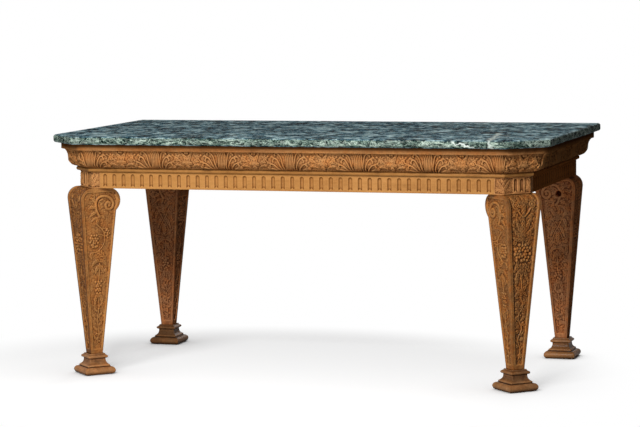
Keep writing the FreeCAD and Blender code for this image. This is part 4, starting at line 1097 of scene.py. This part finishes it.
def wood(name, light, middle, dark, cavity, along, dirt_and_shade=0.8, speck=0.4, stain=0.35, crease=0.014, shine=0.06,
         flush=0.0, shade_bands=()):
    """Old waxed wood: grain along one axis, worn pale on edges, dirt and wax dark in the recesses, and
    painted shade
    there too: spots below their surroundings and creases found by ambient occlusion darken as if in shade.

    Flush is how far the colour wanders from grey to ruddy. Shade bands list bands of painted shade over which
    the
    wood darkens: an axis, two places on it and how dark it ends.
    """
    shader = Shader(bpy.data.materials.new(name))
    place = shader.add("TexCoord", out="Object")
    stretch = [1.0, 1.0, 1.0]
    stretch["xyz".index(along)] = 0.07
    grained = shader.mapped(place, stretch)
    figure = shader.noise(grained, 38.0, 5.0, 0.6, 0.6)
    pores = shader.noise(grained, 420.0, 3.0, 0.7)
    patches = shader.noise(place, 7.0, 3.0)
    specks = shader.noise(place, 150.0, 3.0, 0.7)
    stains = shader.noise(place, 22.0, 4.0, 0.65)
    tone = shader.total((figure, 0.55), (pores, 0.25), (patches, 0.3))
    tone = shader.math("ADD", tone, shader.fit(specks, 0.3, 0.7, -0.25 * speck, 0.25 * speck))
    base = shader.ramp(tone, (0.34, dark), (0.54, middle), (0.76, light))
    base = shader.mix(shader.fit(stains, 0.5, 0.68, 0.0, stain), base, cavity)
    hollow = shader.add("Attribute", out="Fac", attribute_name="hollow")
    worn = shader.mix(shader.fit(hollow, -0.1, -0.8, 0.0, 0.6), base, light)
    # Dirt and painted shade: recesses (the hollow attribute) and creases (ambient occlusion) darken towards
    # the cavity colour
    open_sky = shader.add("AmbientOcclusion", {"Distance": crease}, "AO", samples=8)
    grime_and_shade = shader.math("ADD", shader.fit(hollow, 0.05, 0.7), shader.fit(open_sky, 0.85, 0.3, 0.0, 0.5))
    grime_and_shade = shader.math("MULTIPLY", grime_and_shade, shader.fit(patches, 0.3, 0.7, 0.8, 1.1))
    colour = shader.mix(shader.math("MINIMUM", shader.math("MULTIPLY", grime_and_shade, dirt_and_shade), 1.0), worn, cavity)
    if flush:
        wander = shader.noise(place, 34.0, 4.0, 0.6, 0.5)
        colour = shader.mix(shader.fit(wander, 0.46, 0.62, 0.0, flush), colour, RUDDY, "MULTIPLY")
        colour = shader.mix(shader.fit(wander, 0.54, 0.38, 0.0, flush), colour, GREYED, "MULTIPLY")
    # Bands of painted shade, darkening the wood towards the cavity colour
    for axis, low, high, amount in shade_bands:
        place_along = shader.add("SeparateXYZ", {0: place}, axis)
        colour = shader.mix(shader.fit(place_along, low * MM, high * MM, 0.0, amount), colour, cavity)
    relief = shader.math("ADD", pores, figure)
    bump = shader.add("Bump", {"Height": relief, "Strength": 0.25, "Distance": 0.0008})
    return shader.finish(shader.add("BsdfPrincipled", {
        "Base Color": colour, "Roughness": shader.fit(tone, 0.35, 0.75, 0.66, 0.52), "Normal": bump,
        "Specular IOR Level": 0.0, "Coat Weight": shine, "Coat Roughness": 0.2, "Coat IOR": 1.4}))


def marble():
    """Dark green marble: long streaks along the slab, pale clouds and broken white veins."""
    shader = Shader(bpy.data.materials.new("green_marble"))
    place = shader.add("TexCoord", out="Object")
    drift = shader.add("TexNoise", {"Vector": place, "Scale": 4.0, "Detail": 5.0}, "Color")
    swirl = shader.mix(0.1, place, drift, "ADD")
    streaks = shader.noise(shader.mapped(swirl, (0.8, 0.8, 4.0), (0, 0, 0.06)), 17.0, 8.0, 0.76, 0.6)
    flakes = shader.noise(shader.mapped(swirl, (1.0, 0.8, 1.5), (0, 0, -0.2)), 44.0, 6.0, 0.65, 0.4)
    tone = shader.total((streaks, 0.6), (flakes, 0.4))
    body = shader.ramp(tone, (0.45, srgb(4, 13, 20)), (0.487, srgb(44, 80, 96)), (0.527, srgb(106, 154, 170)),
                       (0.568, srgb(218, 244, 244)))
    chipped = shader.mapped(swirl, (1.0, 1.0, 1.6))
    coarse, fine = (shader.creases(chipped, scale, 4.0, 0.6, 0.8) for scale in (26.0, 58.0))
    crack = shader.math("MINIMUM", coarse, shader.math("MULTIPLY", fine, 1.6))
    crack = shader.math("ADD", crack, shader.fit(streaks, 0.42, 0.58, 0.016, -0.01))
    rough_cut = shader.ramp(crack, (0.0, srgb(206, 222, 206)), (0.014, srgb(134, 158, 144)),
                            (0.034, srgb(66, 90, 82)), (0.075, srgb(18, 32, 28)))
    facing = shader.add("SeparateXYZ", {0: shader.add("NewGeometry", out="Normal")}, "Z")
    edge = shader.fit(shader.math("ABSOLUTE", facing), 0.9, 0.5)
    stone = shader.mix(edge, body, rough_cut)
    veined = shader.mapped(swirl, (1.2, 2.6, 3.0), (0, 0, 0.35))
    for scale, width, strength in ((3.0, 0.008, 0.6), (9.0, 0.014, 0.45)):
        vein = shader.fit(shader.creases(veined, scale, 7.0, 0.6, 1.6), width, 0.0, 0.0, strength)
        stone = shader.mix(vein, stone, FINE_VEIN_COLOUR)
    waver = shader.fit(shader.noise(place, 26.0, 4.0, 0.6), 0.3, 0.7, -0.016, 0.016)
    for start, end, width in VEINS:
        line = shader.stroke(place, waver, start, end, (0, 0, 1), width)
        stone = shader.mix(shader.math("MULTIPLY", line, 0.95), stone, VEIN_COLOUR)
    line = shader.stroke(place, waver, *EDGE_VEIN, (0, 1, 0), EDGE_VEIN_WIDTH)
    stone = shader.mix(shader.math("MULTIPLY", line, edge), stone, VEIN_COLOUR)
    return shader.finish(shader.add("BsdfPrincipled", {
        "Base Color": stone, "Roughness": shader.fit(flakes, 0.3, 0.7, 0.4, 0.55),
        "Specular IOR Level": 0.0, "Coat Weight": 0.03, "Coat Roughness": 0.1}))


# Studio

FLOOR_HALF = 150.0

# Lamps, in metres and watts: place, target, width, height and power
LAMPS = {"key_light": ((0.1, -3.5, 2.4), (0, -0.3, 0.6), 0.9, 0.9, 100),
         "low_light": ((-0.2, -4.2, 0.6), (0, 0, 0.4), 2.2, 0.5, 42),
         "shadow_light": ((-1.1, -3.6, 2.6), (0, 0, 0), 0.8, 0.8, 60),
         "back_light": ((0.0, 4.5, 2.3), (0, 0, 0.5), 2.0, 2.0, 40)}

# Camera of the photograph: place in metres, turn in degrees and lens
CAMERA_SPOT = (2.70853, -8.49694, 1.44596)
CAMERA_YAW, CAMERA_PITCH, CAMERA_ROLL = 17.83, -5.69, -0.73
CAMERA_SENSOR = 36.0
CAMERA_LENS = 139.81
CAMERA_REACH = 400.0


def seen_as(shader, lit, white):
    """Shows white to rays that see the background and keeps the lit surface for the rest of the light."""
    path = shader.node("LightPath").outputs
    seen = shader.math("MAXIMUM", path["Is Camera Ray"], path["Is Glossy Ray"])
    seen = shader.math("MAXIMUM", seen, path["Is Transmission Ray"])
    return shader.add("MixShader", {0: seen, 1: lit, 2: white})


def floor():
    """Pale floor that keeps the lamps' shadow near the table, with a painted contact shadow where its glow
    dims near the feet, and runs out to plain white.
    """
    shader = Shader(bpy.data.materials.new("studio_floor"))
    lit, pale = (shader.add("BsdfDiffuse", {"Color": (grey, grey, grey, 1)}) for grey in (0.22, 0.7))
    # Painted contact shadow: the glow dims where ambient occlusion finds the table near, and the fade to
    # white spares those spots
    open_sky = shader.add("AmbientOcclusion", {"Distance": 0.34}, "AO", samples=12)
    glow_with_painted_shadow, white = (shader.add("Emission", {"Color": WHITE, "Strength": strength})
                   for strength in (shader.fit(open_sky, 0.35, 0.98, 0.0, 0.46), 1.0))
    near = shader.add("AddShader", {0: pale, 1: glow_with_painted_shadow})
    spread = shader.mapped(shader.add("TexCoord", out="Object"), (0.85, 1, 1), location=(0.2, 0.2, 0))
    distance = shader.add("VectorMath", {0: spread}, "Value", operation="LENGTH")
    fade = shader.math("MULTIPLY", shader.fit(distance, 0.72, 1.2, ease="SMOOTHSTEP"),
                       shader.fit(open_sky, 0.4, 0.9))
    shown = shader.add("MixShader", {0: fade, 1: near, 2: white})
    mesh = bpy.data.meshes.new("studio_floor")
    corners = [(x * FLOOR_HALF, y * FLOOR_HALF, 0) for x, y in ((-1, -1), (1, -1), (1, 1), (-1, 1))]
    mesh.from_pydata(corners, [], [(0, 1, 2, 3)])
    mesh.materials.append(shader.finish(seen_as(shader, lit, shown)))
    plane = show(bpy.data.objects.new("studio_floor", mesh))
    return plane


def world():
    """Dim even light from all round, seen as white by the camera."""
    shader = Shader(bpy.data.worlds.new("studio"), "OutputWorld")
    dim, white = (shader.add("Background", {"Color": WHITE, "Strength": strength}) for strength in (0.1, 1.0))
    bpy.context.scene.world = shader.finish(seen_as(shader, dim, white))


def lamp(name, spot, target, width, tall, power):
    """Soft lamp that faces a target."""
    light = bpy.data.lights.new(name, "AREA")
    light.shape = "RECTANGLE"
    light.size = width
    light.size_y = tall
    light.energy = power
    obj = show(bpy.data.objects.new(name, light))
    obj.location = spot
    obj.rotation_euler = (Vector(target) - Vector(spot)).to_track_quat("-Z", "Y").to_euler()
    obj.visible_camera = False
    return obj


def camera():
    """Camera of the photograph: place, direction and lens."""
    data = bpy.data.cameras.new("photo_camera")
    data.sensor_width = CAMERA_SENSOR
    data.lens = CAMERA_LENS
    data.clip_end = CAMERA_REACH
    obj = show(bpy.data.objects.new("photo_camera", data))
    place = Matrix.Translation(CAMERA_SPOT)
    for angle, axis in ((CAMERA_YAW, "Z"), (90 + CAMERA_PITCH, "X"), (CAMERA_ROLL, "Z")):
        place = place @ Matrix.Rotation(math.radians(angle), 4, axis)
    obj.matrix_world = place
    bpy.context.scene.camera = obj


def dress(material, *names):
    """Gives CAD nodes that stay as they are a finish."""
    for name in names:
        materials = frame["nodes"][name].data.materials
        materials.clear()
        materials.append(material)


# The table

leg_woods = {}
# Each leg's wood is toned by its share of painted light
for spot, (share, flush, _) in LEGS.items():
    colours, shine = (LEG, 0.14) if spot.startswith("front") else (BACK_LEG, 0.0)
    leg_woods[f"{spot}_leg"] = wood(f"{spot}_leg_wood", *toned(colours, share), "z", 0.7, shine=shine,
                                    flush=flush)
carved_legs(leg_woods)
moulded_feet({f"{spot}_foot": wood(f"{spot}_foot_wood", *toned(FOOT, share), "x", 1.2, 0.3, crease=0.02,
                                   shine=0.2, flush=0.3) for spot, share in FOOT_PAINTED_LIGHT.items()})
# Painted shadow on the fillet under the slab's overhang, and painted shade along the cornice's ends towards
# the back
shadow_under_slab = ("Z", FRAME_TOP - 1.1 * FILLET_HEIGHT, FRAME_TOP - 0.4 * FILLET_HEIGHT, 0.75)
shade_towards_back = ("Y", FRAME_FRONT + 0.6 * CANT, FRAME_FRONT + 3 * CANT, 0.5)
carved_cornices(wood("cornice_wood", *CARVED, "x", shine=0.0, flush=0.35, shade_bands=(shadow_under_slab, shade_towards_back)))
honey_x = wood("honey_wood_along", *toned(HONEY, 0.94), "x", 0.62, speck=0.2, stain=0.1)
# The ends, back posts and bearers take the shaded end palette: painted shade
honey_y = wood("honey_wood_across", *SHADED_END, "y", 1.3, speck=0.2, stain=0.1, shine=0.0)
bead = wood("bead_wood", *toned(HONEY, 0.8), "x", 1.2, speck=0.3, crease=0.02)
apron(honey_x, honey_y, wood("post_wood", *CARVED, "x", stain=0.5))
dress(honey_x, "back_rail", "glue_blocks", "leg_pegs")
dress(bead, "front_bead", "left_cant_bead", "right_cant_bead")
dress(honey_y, "left_end_bead", "right_end_bead", "back_left_post", "back_right_post", "left_bearer",
      "middle_bearer", "right_bearer")
dress(marble(), "marble_top")

ground = floor()
world()
lamps = {name: lamp(name, *values) for name, values in LAMPS.items()}
shadow_only = bpy.data.collections.new("lit_by_shadow_light")
shadow_only.objects.link(ground)
lamps["shadow_light"].light_linking.receiver_collection = shadow_only
camera()

bpy.context.scene.view_settings.view_transform = "Standard"
